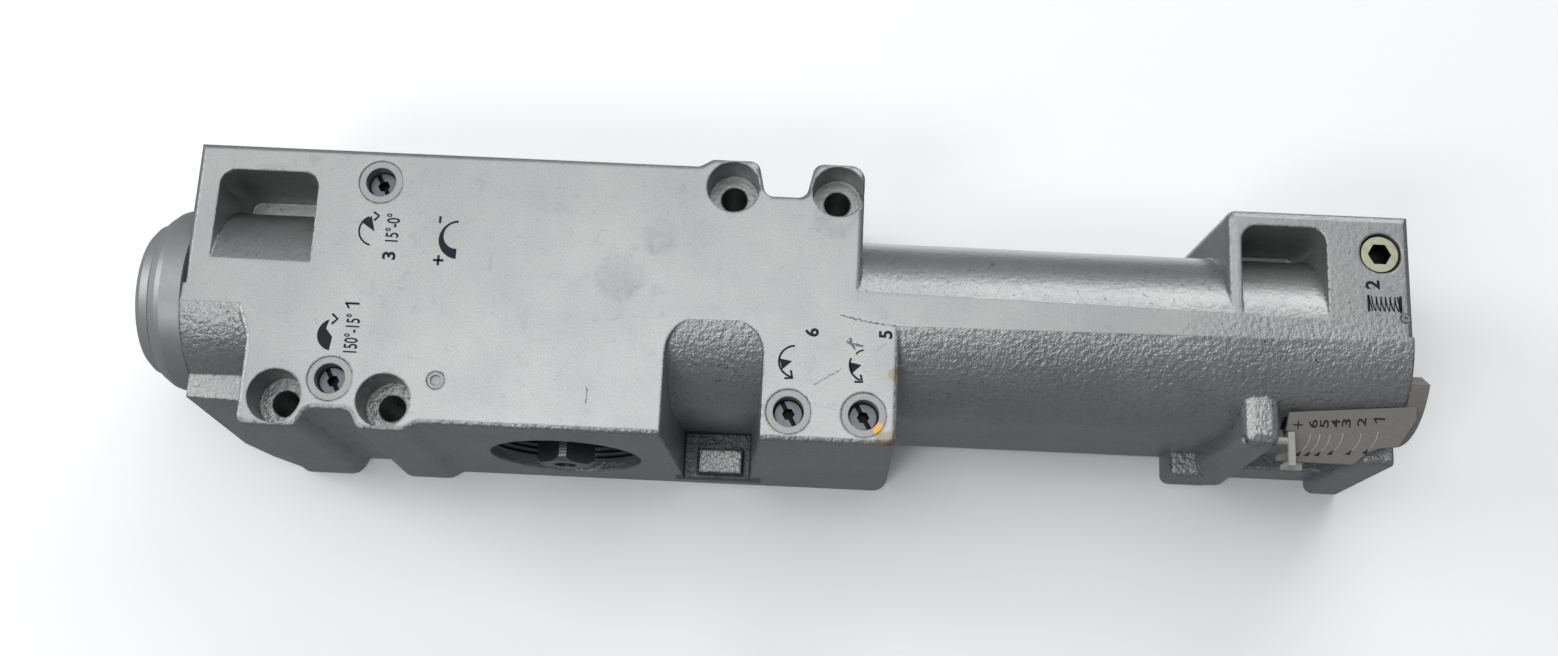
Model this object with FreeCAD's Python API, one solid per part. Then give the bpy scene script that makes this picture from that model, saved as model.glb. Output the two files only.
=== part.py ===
import FreeCAD, Part
import math
import os

# Surface door closer: cast body with a rack and pinion, a main spring with a worm-driven
# preload adjuster, four regulating valves and a scale for the spring size.
# Frame, in mm: +X along the body towards the spring tube, +Y into the door, +Z up along the
# spindle. The origin lies on the spindle axis, in the door face, halfway up the hole pattern.

# Casting: the machined block at the pinion end
DEPTH = 60.0
BLOCK_LEFT = -92.3
BLOCK_RIGHT_UPPER = 72.9
BLOCK_RIGHT_LOWER = 82.7
BLOCK_HALF_HEIGHT = 34.2
DRAFT_GROWTH = 1.6
EDGE_ROUND = 1.2
WALL_CORNER = 3.0
STEP_RIGHT = -75.2
STEP_TOP_RIGHT = -80.0
STEP_TOP = -2.8

# Casting: the four fixing holes, the same when turned half a turn about the spindle
HOLE_INNER_X = 40.4
HOLE_OUTER_X = 66.5
HOLE_Z = 28.85
HOLE_RADIUS = 3.3
COUNTERBORE_RADIUS = 6.5
COUNTERBORE_DEPTH = 10.3
BOSS_WALL = 0.8
BOSS_INNER_FLANK = 5.4
BOSS_OUTER_FLANK = 8.7
NOTCH_RIM = 6.0
NOTCH_FLOOR = 8.0
BOSS_CORNER = 2.4
NOTCH_CORNER = 2.6
UPPER_NOTCH = 27.2
LOWER_NOTCH = -31.7

# Casting: bore, spring tube and the block at the spring end
BORE_DEPTH = 22.3
BORE_Z = -0.8
BORE_RADIUS = 19.0
TUBE_RADIUS_LEFT = 23.0
TUBE_RADIUS_RIGHT = 22.4
TUBE_REAR_CORNER = 3.0
CAP_THREAD_RADIUS = 20.3
CAP_THREAD_LENGTH = 8.0
END_RIGHT = 206.9
END_BLOCK_LEFT = 162.4
END_BLOCK_TOP = 29.1
END_CORNER = 2.4
END_BEVEL = 1.2
END_OVERRUN = 5.0
SEAM_HALF = 1.5
TRIM_MARGIN = 20.0

# Casting: cored pockets, the saddle recess and the ribs
LEFT_POCKET = (-86.4, -61.9, 27.7)
RIGHT_POCKET = (165.7, 186.6, 25.0)
POCKET_DEPTH = 21.0
POCKET_CORNER = 4.0
POCKET_TAPER = 1.6
SADDLE_LEFT = 26.0
SADDLE_RIGHT = 50.0
SADDLE_TOP = -4.6
SADDLE_WALL = 7.0
SADDLE_TAPER = 3.2
SADDLE_ARCH = 9.0
SADDLE_LUG = (33.0, 44.8, -28.0, -34.6)
SADDLE_LUG_THICKNESS = 10.5
LEFT_RIB_FACE = 13.0
LEFT_RIB_BOTTOM = -27.5
POINTER_RIB = (167.2, 176.2, -28.6)
POINTER_RIB_FACE = 6.4
FOOT_PAD = (159.5, 172.0, -29.6)
FOOT_PAD_THICKNESS = 10.5
REAR_FLANGE_BOTTOM = -27.0
END_LUG = (199.0, -30.2)
END_LUG_FACE = 17.0
REAR_CORE = (94.0, 150.0, 15.0)
REAR_CORE_WALL = 5.2
REAR_CORE_WEB = 4.0

# Spindle with pinion, in its two glands
SPINDLE_BEHIND_BORE = 9.7
SPINDLE_PORT_RADIUS = 19.3
PINION_TEETH = 12
PINION_MODULE = 1.7
PINION_HALF_LENGTH = 14.0
PINION_ADDENDUM = 1.45
PINION_DEDENDUM = 1.5
PRESSURE_ANGLE = 20.0
RACK_ADDENDUM = 1.1
RACK_DEDENDUM = 1.85
TOOTH_BACKLASH = 0.2
JOURNAL_RADIUS = 9.0
DRIVE_PROUD = 3.0
DRIVE_CHAMFER = 1.0
DRIVE_FLATS = 11.6
DRIVE_CORNERS = 14.6
DRIVE_LENGTH = 8.0
DRIVE_SCREW_RADIUS = 2.8
DRIVE_SCREW_DEPTH = 12.0
GLAND_SINK = 6.2
GLAND_LENGTH = 7.8
GLAND_CHAMFER = 1.0
GLAND_HOLE_GAP = 0.4
GLAND_SEAL_POCKET = 3.0
BEARING_OUTER_RADIUS = 12.5
BEARING_LENGTH = 4.0
SPANNER_HOLE_RADIUS = 1.6
SPANNER_HOLE_DEPTH = 3.0
RUNNING_FIT = 0.05
SEAT_GAP = 0.03
END_GAP = 0.1
OVERCUT = 1.0

# Piston with rack
PISTON_LEFT = -84.0
PISTON_RIGHT = 36.0
PISTON_HEAD_LENGTH = 20.0
RACK_START = -64.0
RACK_TOOTH_SPAN = (-42.0, 8.0)
WINDOW_RIGHT = 15.0
RACK_HALF_WIDTH = 13.5
PISTON_GROOVE_DEPTH = 2.2
PISTON_GROOVE_WIDTH = 3.6
CHECK_VALVE_OFFSET = 9.0
CHECK_VALVE_RADIUS = 3.2
CHECK_BALL_RADIUS = 2.6
CHECK_CHAMBER_LENGTH = 11.0
CHECK_PASSAGE_RADIUS = 1.5
PISTON_RECESS = 8.0

# Main spring, its seat and the preload drive
SEAT_LEFT = 150.0
SEAT_FLANGE = 7.0
SEAT_HUB_RADIUS = 9.5
SEAT_HUB_LENGTH = 16.0
SPRING_WIRE = 5.0
SPRING_COILS = 11.0
SPRING_CLEARANCE = 0.9
INNER_SPRING_WIRE = 3.2
INNER_SPRING_COILS = 15.0
LEAD_SCREW_RADIUS = 6.0
LEAD_SCREW_LEFT = 118.0
WHEEL_TEETH = 31
WHEEL_MODULE = 1.0
WHEEL_WIDTH = 6.6
WHEEL_ADDENDUM = 0.6
WHEEL_DEDENDUM = 0.8
WORM_X = 199.7
WORM_Z = 19.1
WORM_STARTS = 2
WORM_HALF_LENGTH = 8.0
WORM_HOLE_RADIUS = 5.1
WORM_HEAD_RADIUS = 4.55
WORM_HEAD_FACE = 0.7
WORM_JOURNAL_START = 6.4
WORM_TAIL_RADIUS = 2.4
WORM_TAIL_LENGTH = 6.0
WORM_SOCKET_FLATS = 5.0
WORM_SOCKET_DEPTH = 4.0

# Caps
LEFT_CAP_END = -105.2
LEFT_CAP_RADIUS = 23.0
LEFT_CAP_GROOVE_X = -101.4
LEFT_CAP_SHOULDER_X = -98.8
LEFT_CAP_RIM_RADIUS = 19.0
LEFT_CAP_INNER = -86.4
LEFT_CAP_DISH = 2.6
LEFT_CAP_DISH_RADIUS = 9.0
LEFT_CAP_CHAMFER = 1.4
LEFT_CAP_GROOVE_WIDTH = 0.5
LEFT_CAP_GROOVE_DEPTH = 0.6
CAP_SEAL_START = 2.4
CAP_SEAL_WIDTH = 2.2
CAP_SEAL_DEPTH = 1.6
CAP_SKIRT_GAP = 0.2
CAP_SOCKET_FLATS = 17.0
CAP_SOCKET_DEPTH = 9.0
RIGHT_CAP_INNER = 203.7
RIGHT_CAP_PILOT_RADIUS = 14.0
RIGHT_THREAD_LEFT = 204.9
RIGHT_CAP_END = 208.8
RIGHT_CAP_BOSS_RADIUS = 15.0
LOCK_PIN = (205.0, 2.8, 1.05)
LOCK_PIN_LENGTH = 2.1
LOCK_PIN_PROUD = 0.25

# Regulating valves: brass ring, screw and O-ring; two lie above and below at each end
VALVES = {"1": (-53.7, -24.1), "3": (-46.7, 26.0), "6": (56.5, -27.1), "5": (74.5, -27.1)}
VALVE_RING_RADIUS = 5.385
VALVE_RING_BORE = 3.7
VALVE_RING_LENGTH = 8.6
VALVE_RING_FACE = 0.15
VALVE_SCREW_FACE = 3.4
VALVE_STEM_RADIUS = 2.9
VALVE_STEM_END = 18.0
VALVE_TIP_LENGTH = 2.4
VALVE_SLOT_WIDTH = 1.1
VALVE_SLOT_DEPTH = 1.0
VALVE_SOCKET_FLATS = 2.6
VALVE_SOCKET_DEPTH = 3.0
VALVE_SLOT_ANGLE = 60.0
VALVE_GROOVE_START = 7.0
VALVE_GROOVE_WIDTH = 1.8
VALVE_GROOVE_DEPTH = 0.6
VALVE_TIP_RADIUS = 0.6
GALLERY_PLUG = (-28.3, -23.4, 2.1)
GALLERY_PLUG_LENGTH = 4.0
GALLERY_PLUG_FACE = 0.1
GALLERY_PLUG_RECESS = 0.5

# Scale plate and pointer of the spring size indicator. The plate's outline runs clockwise from
# its upper left corner, as (x from the casting's end, z from the bore axis).
PLATE_OUTLINE = [
    (-28.5, -19.3), (2.0, -16.8), (2.3, -19.8), (-1.4, -26.0), (-5.9, -26.5), (-8.6, -27.6),
    (-11.7, -30.4), (-30.3, -30.3), (-30.4, -29.1), (-26.9, -27.7), (-27.1, -23.9), (-28.9, -23.3),
]
PLATE_TOP = -16.8
PLATE_BOTTOM = -30.4
PLATE_FACE = 6.0
PLATE_FOOT_FACE = 12.4
PLATE_BOW = 0.2
PLATE_THICKNESS = 1.2
PLATE_FLANGE_WIDTH = 4.1
PLATE_FLANGE_RADIUS = 23.4
PLATE_FLANGE_INNER = 17.5
PLATE_FLANGE_START = 31.0
PLATE_FLANGE_SPAN = 70.0
POINTER_X = 178.1
POINTER_WIDTH = 1.6
POINTER_TOP = -24.8
POINTER_FACE = 7.9
POINTER_THICKNESS = 1.0
POINTER_STEM = 14.0
POINTER_STRIP = 1.2
POINTER_FOOT = 1.4
POINTER_ROD_DEPTH = 8.9
POINTER_ROD_Z = -26.9
POINTER_ROD_RADIUS = 0.9
POINTER_ROD_GAP = 0.2
POINTER_ROD_LENGTH = 8.0
FINGER_WIDTH = 4.0
FINGER_PROUD = 2.6
FINGER_SETBACK = 1.0
FINGER_ANGLE = 68.0
SLOT_WIDTH = 5.6

FRONT_Y = -DEPTH
SPINDLE_DEPTH = BORE_DEPTH + SPINDLE_BEHIND_BORE
SPINDLE_END = BLOCK_HALF_HEIGHT + DRIVE_PROUD
GLAND_FACE = BLOCK_HALF_HEIGHT - GLAND_SINK
GLAND_INNER = GLAND_FACE - GLAND_LENGTH
PITCH_RADIUS = PINION_TEETH * PINION_MODULE / 2.0
WHEEL_RADIUS = WHEEL_TEETH * WHEEL_MODULE / 2.0
WORM_RADIUS = WORM_Z - BORE_Z - WHEEL_RADIUS
BOSS_HALF_HEIGHT = HOLE_Z + COUNTERBORE_RADIUS + BOSS_WALL
X_AXIS = FreeCAD.Vector(1, 0, 0)
Y_AXIS = FreeCAD.Vector(0, 1, 0)
Z_AXIS = FreeCAD.Vector(0, 0, 1)


def at(x, depth, z):
    """Point given by its depth behind the front face."""
    return FreeCAD.Vector(x, FRONT_Y + depth, z)


def face_plane(depth):
    """Maps (x, z) to the plane at this depth."""
    return lambda u, v: at(u, depth, v)


def section_plane(x):
    """Maps (depth, z) to the cross-section at x."""
    return lambda u, v: at(x, u, v)


def rounded_wire(corners, place):
    """Closed wire through (u, v, radius) corners, each rounded by a tangent arc."""
    count = len(corners)
    spans = []
    for index, (u, v, radius) in enumerate(corners):
        here = FreeCAD.Vector(u, v, 0)
        back = FreeCAD.Vector(*corners[index - 1][:2], 0) - here
        ahead = FreeCAD.Vector(*corners[(index + 1) % count][:2], 0) - here
        back.normalize()
        ahead.normalize()
        if radius <= 0:
            spans.append((here, here, here))
            continue
        half = back.getAngle(ahead) / 2.0
        inward = (back + ahead).normalize()
        reach = radius / math.tan(half)
        middle = here + inward * (radius / math.sin(half) - radius)
        spans.append((here + back * reach, middle, here + ahead * reach))
    edges = []
    for index, (start, middle, end) in enumerate(spans):
        start, middle, end = (place(p.x, p.y) for p in (start, middle, end))
        following = place(spans[(index + 1) % count][0].x, spans[(index + 1) % count][0].y)
        if (end - start).Length > 1e-6:
            edges.append(Part.Arc(start, middle, end).toShape())
        if (following - end).Length > 1e-5:
            edges.append(Part.LineSegment(end, following).toShape())
    return Part.Wire(edges)


def grown(corners, growth):
    """The same corners moved outwards by growth; corners run anticlockwise."""
    result = []
    count = len(corners)
    for index, (u, v, radius) in enumerate(corners):
        before = corners[index - 1]
        after = corners[(index + 1) % count]
        first = FreeCAD.Vector(u - before[0], v - before[1], 0).normalize()
        second = FreeCAD.Vector(after[0] - u, after[1] - v, 0).normalize()
        normals = FreeCAD.Vector(first.y + second.y, -first.x - second.x, 0)
        shift = normals * (growth / (1.0 + first.dot(second)))
        convex = first.cross(second).z > 0
        new_radius = 0.0
        if radius > 0:
            new_radius = radius + growth if convex else max(radius - growth, 0.3)
        result.append((u + shift.x, v + shift.y, new_radius))
    return result


def drafted(corners, front, rear, growth, edge_round=0.0):
    """Cast prism between two depths that grows to the rear, with a rounded front edge."""
    wires = []
    for angle in ((0.0, 45.0) if edge_round > 0 else ()):
        inset = edge_round * (1.0 - math.sin(math.radians(angle)))
        sink = edge_round * (1.0 - math.cos(math.radians(angle)))
        wires.append(rounded_wire(grown(corners, -inset), face_plane(front + sink)))
    wires.append(rounded_wire(corners, face_plane(front + edge_round)))
    wires.append(rounded_wire(grown(corners, growth), face_plane(rear)))
    return Part.makeLoft(wires, True, True)


def rectangle(left, right, bottom, top, radius=0.0):
    return [(left, bottom, radius), (right, bottom, radius), (right, top, radius), (left, top, radius)]


def rod(radius, base, axis, length):
    return Part.makeCylinder(radius, length, base, axis)


def bore_rod(radius, left, right):
    """Cylinder on the bore axis."""
    return rod(radius, at(left, BORE_DEPTH, BORE_Z), X_AXIS, right - left)


def bore_ring(outer, inner, left, right):
    return bore_rod(outer, left, right).cut(bore_rod(inner, left - 1.0, right + 1.0))


def revolved(profile, base, axis, across):
    """Solid of revolution of (along, radius) points about the axis through base."""
    points = [base + axis * along + across * radius for along, radius in profile]
    outline = Part.makePolygon(points + points[:1])
    return Part.Face(outline).revolve(base, axis, 360.0)


def hexagon_prism(flats, base, axis, across, length):
    """Hexagonal prism; the first corner lies along the across direction."""
    radius = flats / math.sqrt(3.0)
    other = axis.cross(across)
    points = []
    for index in range(6):
        angle = math.radians(60.0 * index)
        points.append(base + across * (radius * math.cos(angle)) + other * (radius * math.sin(angle)))
    return Part.Face(Part.makePolygon(points + points[:1])).extrude(axis * length)


def involute(angle):
    return math.tan(angle) - angle


def gear_outline(teeth, module, addendum, dedendum, backlash):
    """Points (u, v) of an involute spur gear; a tooth gap is centred on the +u axis."""
    pressure = math.radians(PRESSURE_ANGLE)
    pitch = teeth * module / 2.0
    base = pitch * math.cos(pressure)
    root = pitch - dedendum
    half_gap = math.pi / (2.0 * teeth) + backlash / (2.0 * pitch)
    flank = []
    steps = 4
    low = max(base, root)
    for index in range(steps + 1):
        radius = low + (pitch + addendum - low) * index / steps
        bend = involute(pressure) - involute(math.acos(base / radius))
        flank.append((radius, half_gap - bend))
    if root < base:
        flank.insert(0, (root, flank[0][1]))
    points = []
    for tooth in range(teeth):
        centre = 2.0 * math.pi * tooth / teeth
        points += [(radius, centre - angle) for radius, angle in reversed(flank)]
        points += [(radius, centre + angle) for radius, angle in flank]
    return [(radius * math.cos(angle), radius * math.sin(angle)) for radius, angle in points]


def block_corners():
    """Front outline of the machined block, anticlockwise seen from the front."""
    def boss_pair(sign, notch):
        edge = sign * BLOCK_HALF_HEIGHT
        rim = sign * BOSS_HALF_HEIGHT
        inner = sign * HOLE_INNER_X
        outer = sign * HOLE_OUTER_X
        return [
            (inner - sign * BOSS_OUTER_FLANK, edge, BOSS_CORNER),
            (inner - sign * BOSS_INNER_FLANK, rim, BOSS_CORNER),
            (inner + sign * NOTCH_RIM, rim, NOTCH_CORNER),
            (inner + sign * NOTCH_FLOOR, notch, NOTCH_CORNER),
            (outer - sign * NOTCH_FLOOR, notch, NOTCH_CORNER),
            (outer - sign * NOTCH_RIM, rim, NOTCH_CORNER),
        ]
    corners = [(BLOCK_LEFT - WALL_CORNER, BLOCK_HALF_HEIGHT, 0.0)]
    corners += boss_pair(1.0, UPPER_NOTCH)
    corners += [
        (BLOCK_RIGHT_UPPER, BOSS_HALF_HEIGHT, 3.6),
        (BLOCK_RIGHT_UPPER, BORE_Z + SEAM_HALF, 0.0),
        (BLOCK_RIGHT_LOWER, BORE_Z - SEAM_HALF, 0.0),
        (BLOCK_RIGHT_LOWER, -BLOCK_HALF_HEIGHT, BOSS_CORNER),
    ]
    corners += boss_pair(-1.0, LOWER_NOTCH)
    corners += [
        (STEP_RIGHT, -BOSS_HALF_HEIGHT, BOSS_CORNER),
        (STEP_RIGHT, STEP_TOP - 12.0, WALL_CORNER * 3.0),
        (STEP_TOP_RIGHT, STEP_TOP, BOSS_CORNER),
        (BLOCK_LEFT - WALL_CORNER, STEP_TOP, 0.0),
    ]
    return corners[::-1]


def pocket(bounds, tube_top):
    """Cored pocket between an upper wall and the tube; bounds are left, right and top."""
    left, right, top = bounds
    mouth = rectangle(left, right, tube_top, top, POCKET_CORNER)
    before = 2.0
    taper = POCKET_TAPER * (POCKET_DEPTH + before) / POCKET_DEPTH
    return drafted(grown(mouth, taper - POCKET_TAPER), -before, POCKET_DEPTH, -taper)


def tube():
    """Half-round tube with sides that run back to the door face."""
    wires = []
    slope = (TUBE_RADIUS_RIGHT - TUBE_RADIUS_LEFT) / (END_RIGHT - BLOCK_LEFT)
    for x in (BLOCK_LEFT - END_OVERRUN, END_RIGHT + END_OVERRUN):
        radius = TUBE_RADIUS_LEFT + slope * (x - BLOCK_LEFT)
        front = BORE_DEPTH - radius
        corners = [
            (front, BORE_Z - radius, radius), (DEPTH, BORE_Z - radius, TUBE_REAR_CORNER),
            (DEPTH, BORE_Z + radius, TUBE_REAR_CORNER), (front, BORE_Z + radius, radius),
        ]
        wires.append(rounded_wire(corners, section_plane(x)))
    return Part.makeLoft(wires, True, True)


def main_block():
    """Machined block with its saddle recess and upper left pocket, before the tube is added."""
    block = drafted(block_corners(), 0.0, DEPTH, DRAFT_GROWTH, EDGE_ROUND)
    block = block.cut(pocket(LEFT_POCKET, BORE_Z))
    saddle = [
        (SADDLE_LEFT, -BOSS_HALF_HEIGHT - 6.0, 0.0), (SADDLE_RIGHT, -BOSS_HALF_HEIGHT - 6.0, 0.0),
        (SADDLE_RIGHT, SADDLE_TOP, SADDLE_ARCH), (SADDLE_LEFT, SADDLE_TOP, SADDLE_ARCH),
    ]
    block = block.cut(drafted(saddle, -0.5, DEPTH - SADDLE_WALL, -SADDLE_TAPER))
    left, right, top, bottom = SADDLE_LUG
    lug = rectangle(left, right, bottom, top)
    return block.fuse(drafted(lug, DEPTH - SADDLE_LUG_THICKNESS, DEPTH, 0.4, 0.6))


def end_block():
    """Block at the spring end, with its pocket."""
    corners = [
        (END_BLOCK_LEFT, BORE_Z - SEAM_HALF, 0.0), (END_RIGHT + END_OVERRUN, BORE_Z - SEAM_HALF, 0.0),
        (END_RIGHT + END_OVERRUN, END_BLOCK_TOP, 0.0), (END_BLOCK_LEFT, END_BLOCK_TOP, END_CORNER),
    ]
    block = drafted(corners, 0.0, DEPTH, DRAFT_GROWTH, EDGE_ROUND * 1.6)
    return block.cut(pocket(RIGHT_POCKET, BORE_Z))


def left_rib():
    """Rib under the tube at the cap end, with a skewed lower edge at the door face."""
    inner = STEP_RIGHT - 1.0
    middle = (BLOCK_LEFT + inner) / 2.0
    left = BLOCK_LEFT - END_OVERRUN
    front = [(left, BORE_Z), (left, LEFT_RIB_BOTTOM), (middle, LEFT_RIB_BOTTOM - 0.4),
             (inner + 2.0, LEFT_RIB_BOTTOM - 0.8), (inner + 2.0, BORE_Z)]
    rear = [(left, BORE_Z), (left, LEFT_RIB_BOTTOM - 1.2), (middle, LEFT_RIB_BOTTOM - 6.4),
            (inner + 2.0, -BLOCK_HALF_HEIGHT - 2.8), (inner + 2.0, BORE_Z)]
    wires = []
    for points, depth in ((front, LEFT_RIB_FACE), (rear, DEPTH)):
        points = [at(x, depth, z) for x, z in points]
        wires.append(Part.makePolygon(points + points[:1]))
    return Part.makeLoft(wires, True, True)


def spring_end_ribs():
    """Rib for the pointer rod, foot pad, rear flange and end lug under the tube."""
    left, right, bottom = POINTER_RIB
    rib = drafted(rectangle(left, right, bottom, BORE_Z - 8.0, 2.6), POINTER_RIB_FACE, DEPTH, 1.4, 2.4)
    pad_left, pad_right, pad_bottom = FOOT_PAD
    pad_face = DEPTH - FOOT_PAD_THICKNESS
    pad = drafted(rectangle(pad_left, pad_right, pad_bottom, BORE_Z - 12.0, 1.6), pad_face, DEPTH, 0.6, 1.0)
    flange = drafted(rectangle(pad_left + 3.0, END_RIGHT + END_OVERRUN, REAR_FLANGE_BOTTOM, BORE_Z, 1.0),
                     pad_face, DEPTH, 0.6, 0.8)
    lug_left, lug_bottom = END_LUG
    lug = drafted(rectangle(lug_left, END_RIGHT + END_OVERRUN, lug_bottom, BORE_Z - 6.0, 1.6),
                  END_LUG_FACE, DEPTH, 0.8, 1.2)
    return [rib, pad, flange, lug]


def rear_cores():
    """Two cored pockets in the door side of the tube, with a web between them."""
    left, right, half = REAR_CORE
    middle = (left + right) / 2.0
    floor = BORE_DEPTH + BORE_RADIUS + REAR_CORE_WALL
    cores = []
    for low, high in ((left, middle - REAR_CORE_WEB / 2.0), (middle + REAR_CORE_WEB / 2.0, right)):
        corners = rectangle(low, high, BORE_Z - half, BORE_Z + half, POCKET_CORNER)
        cores.append(drafted(grown(corners, -POCKET_TAPER), floor, DEPTH + 0.5, POCKET_TAPER))
    return cores


def finger_frame():
    """Direction from the bore axis to the pointer slot, in the cross-section."""
    angle = math.radians(FINGER_ANGLE)
    return FreeCAD.Vector(0, -math.cos(angle), -math.sin(angle))


def radial_bar(x_low, x_high, inner, outer, width):
    """Box along X that reaches from the inner to the outer radius in the slot's direction."""
    out = finger_frame()
    side = X_AXIS.cross(out)
    corner = at(x_low, BORE_DEPTH, BORE_Z) + out * inner - side * (width / 2.0)
    points = [corner, corner + side * width, corner + side * width + out * (outer - inner),
              corner + out * (outer - inner)]
    return Part.Face(Part.makePolygon(points + points[:1])).extrude(X_AXIS * (x_high - x_low))


def end_bevel(x, inward, low, high):
    """Wedge that breaks the front edge of an end face between two heights."""
    corners = [(x - inward * END_BEVEL, -1.0), (x - inward * END_BEVEL, 0.0), (x, END_BEVEL),
               (x + inward, END_BEVEL), (x + inward, -1.0)]
    points = [at(u, depth, low) for u, depth in corners]
    return Part.Face(Part.makePolygon(points + points[:1])).extrude(Z_AXIS * (high - low))


def trims():
    """Slabs that cut the casting off flush in front, at the door face and at both ends."""
    half = BOSS_HALF_HEIGHT + TRIM_MARGIN
    left = BLOCK_LEFT - TRIM_MARGIN
    length = END_RIGHT - BLOCK_LEFT + 2.0 * TRIM_MARGIN
    across = DEPTH + 2.0 * TRIM_MARGIN
    slabs = []
    for depth in (-TRIM_MARGIN, DEPTH):
        slabs.append(Part.makeBox(length, TRIM_MARGIN, 2.0 * half, at(left, depth, -half)))
    for x in (left, END_RIGHT):
        slabs.append(Part.makeBox(TRIM_MARGIN, across, 2.0 * half, at(x, -TRIM_MARGIN, -half)))
    return slabs


def body_casting():
    casting = main_block().fuse([tube(), end_block(), left_rib()] + spring_end_ribs())
    casting = casting.cut(trims())
    reach = BOSS_HALF_HEIGHT + TRIM_MARGIN
    slot_left = POINTER_X + FINGER_SETBACK / 2.0
    rib_left, rib_right = POINTER_RIB[:2]
    rod_hole = POINTER_ROD_RADIUS + POINTER_ROD_GAP
    cuts = [
        bore_rod(BORE_RADIUS, BLOCK_LEFT - 1.0, END_RIGHT + 1.0),
        bore_rod(CAP_THREAD_RADIUS, BLOCK_LEFT - 1.0, BLOCK_LEFT + CAP_THREAD_LENGTH),
        bore_rod(CAP_THREAD_RADIUS, RIGHT_THREAD_LEFT - 0.1, END_RIGHT + 1.0),
        rod(SPINDLE_PORT_RADIUS, at(0, SPINDLE_DEPTH, -reach), Z_AXIS, 2.0 * reach),
        rod(WORM_HOLE_RADIUS, at(WORM_X, -1, WORM_Z), Y_AXIS, BORE_DEPTH + WORM_HALF_LENGTH + 2.0),
        rod(WORM_TAIL_RADIUS + RUNNING_FIT, at(WORM_X, BORE_DEPTH, WORM_Z), Y_AXIS,
            WORM_HALF_LENGTH + WORM_TAIL_LENGTH + 1.5),
        rod(rod_hole, at(rib_left - 2.0, POINTER_ROD_DEPTH, POINTER_ROD_Z), X_AXIS, rib_right - rib_left + 4.0),
        radial_bar(slot_left, END_RIGHT + OVERCUT, BORE_RADIUS - 3.0, 2.0 * BORE_RADIUS, SLOT_WIDTH),
    ]
    for sign in (1.0, -1.0):
        for x in (HOLE_INNER_X, HOLE_OUTER_X):
            cuts.append(rod(HOLE_RADIUS, at(sign * x, -1, sign * HOLE_Z), Y_AXIS, DEPTH + 2))
            cuts.append(rod(COUNTERBORE_RADIUS, at(sign * x, -1, sign * HOLE_Z), Y_AXIS, COUNTERBORE_DEPTH + 1))
    for x, z in VALVES.values():
        cuts.append(rod(VALVE_RING_RADIUS + SEAT_GAP, at(x, -1, z), Y_AXIS, VALVE_RING_LENGTH + 1.3))
        cuts.append(rod(VALVE_STEM_RADIUS + 0.6, at(x, 0, z), Y_AXIS, VALVE_STEM_END + 1.5))
    cuts.append(end_bevel(BLOCK_LEFT, -1.0, BORE_Z - 1.0, BLOCK_HALF_HEIGHT + 4.0))
    cuts.append(end_bevel(END_RIGHT, 1.0, BORE_Z - 1.0, END_BLOCK_TOP + 4.0))
    x, z, radius = GALLERY_PLUG
    cuts.append(rod(radius + SEAT_GAP, at(x, -1, z), Y_AXIS, GALLERY_PLUG_LENGTH + 1.0))
    x, z, radius = LOCK_PIN
    cuts.append(rod(radius + SEAT_GAP, at(x, -1, z), Y_AXIS, LOCK_PIN_LENGTH - LOCK_PIN_PROUD + 1.05))
    return casting.cut(cuts + rear_cores()).removeSplitter()


def left_end_cap():
    """Screwed cap: stepped rim, shoulder ring against the block and a threaded skirt."""
    thread = CAP_THREAD_RADIUS - RUNNING_FIT
    end = LEFT_CAP_END
    rim = LEFT_CAP_RIM_RADIUS
    chamfer = LEFT_CAP_CHAMFER
    groove_left = LEFT_CAP_GROOVE_X
    groove_right = groove_left + LEFT_CAP_GROOVE_WIDTH
    groove_top = rim + 1.0
    groove_floor = groove_top - LEFT_CAP_GROOVE_DEPTH
    seal_left = BLOCK_LEFT + CAP_SEAL_START
    seal_right = seal_left + CAP_SEAL_WIDTH
    skirt = BORE_RADIUS - CAP_SKIRT_GAP
    profile = [
        (end + LEFT_CAP_DISH, 0), (end, LEFT_CAP_DISH_RADIUS), (end, rim - chamfer), (end + chamfer, rim),
        (groove_left, groove_top), (groove_left, groove_floor), (groove_right, groove_floor),
        (groove_right, groove_top + 2.0 * LEFT_CAP_GROOVE_WIDTH), (LEFT_CAP_SHOULDER_X, LEFT_CAP_RADIUS - 0.5),
        (LEFT_CAP_SHOULDER_X + chamfer, LEFT_CAP_RADIUS), (BLOCK_LEFT, LEFT_CAP_RADIUS), (BLOCK_LEFT, thread),
        (seal_left, thread), (seal_left, thread - CAP_SEAL_DEPTH), (seal_right, thread - CAP_SEAL_DEPTH),
        (seal_right, skirt), (LEFT_CAP_INNER, skirt), (LEFT_CAP_INNER, 0),
    ]
    cap = revolved(profile, at(0, BORE_DEPTH, BORE_Z), X_AXIS, Z_AXIS)
    mouth = at(end - OVERCUT, BORE_DEPTH, BORE_Z)
    socket = hexagon_prism(CAP_SOCKET_FLATS, mouth, X_AXIS, Z_AXIS, CAP_SOCKET_DEPTH)
    return cap.cut(socket)


def cap_seal(left, inner_radius):
    """Square-section seal ring between a cap and the casting."""
    return bore_ring(CAP_THREAD_RADIUS - SEAT_GAP, inner_radius + SEAT_GAP, left + END_GAP,
                     left + CAP_SEAL_WIDTH - END_GAP)


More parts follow.
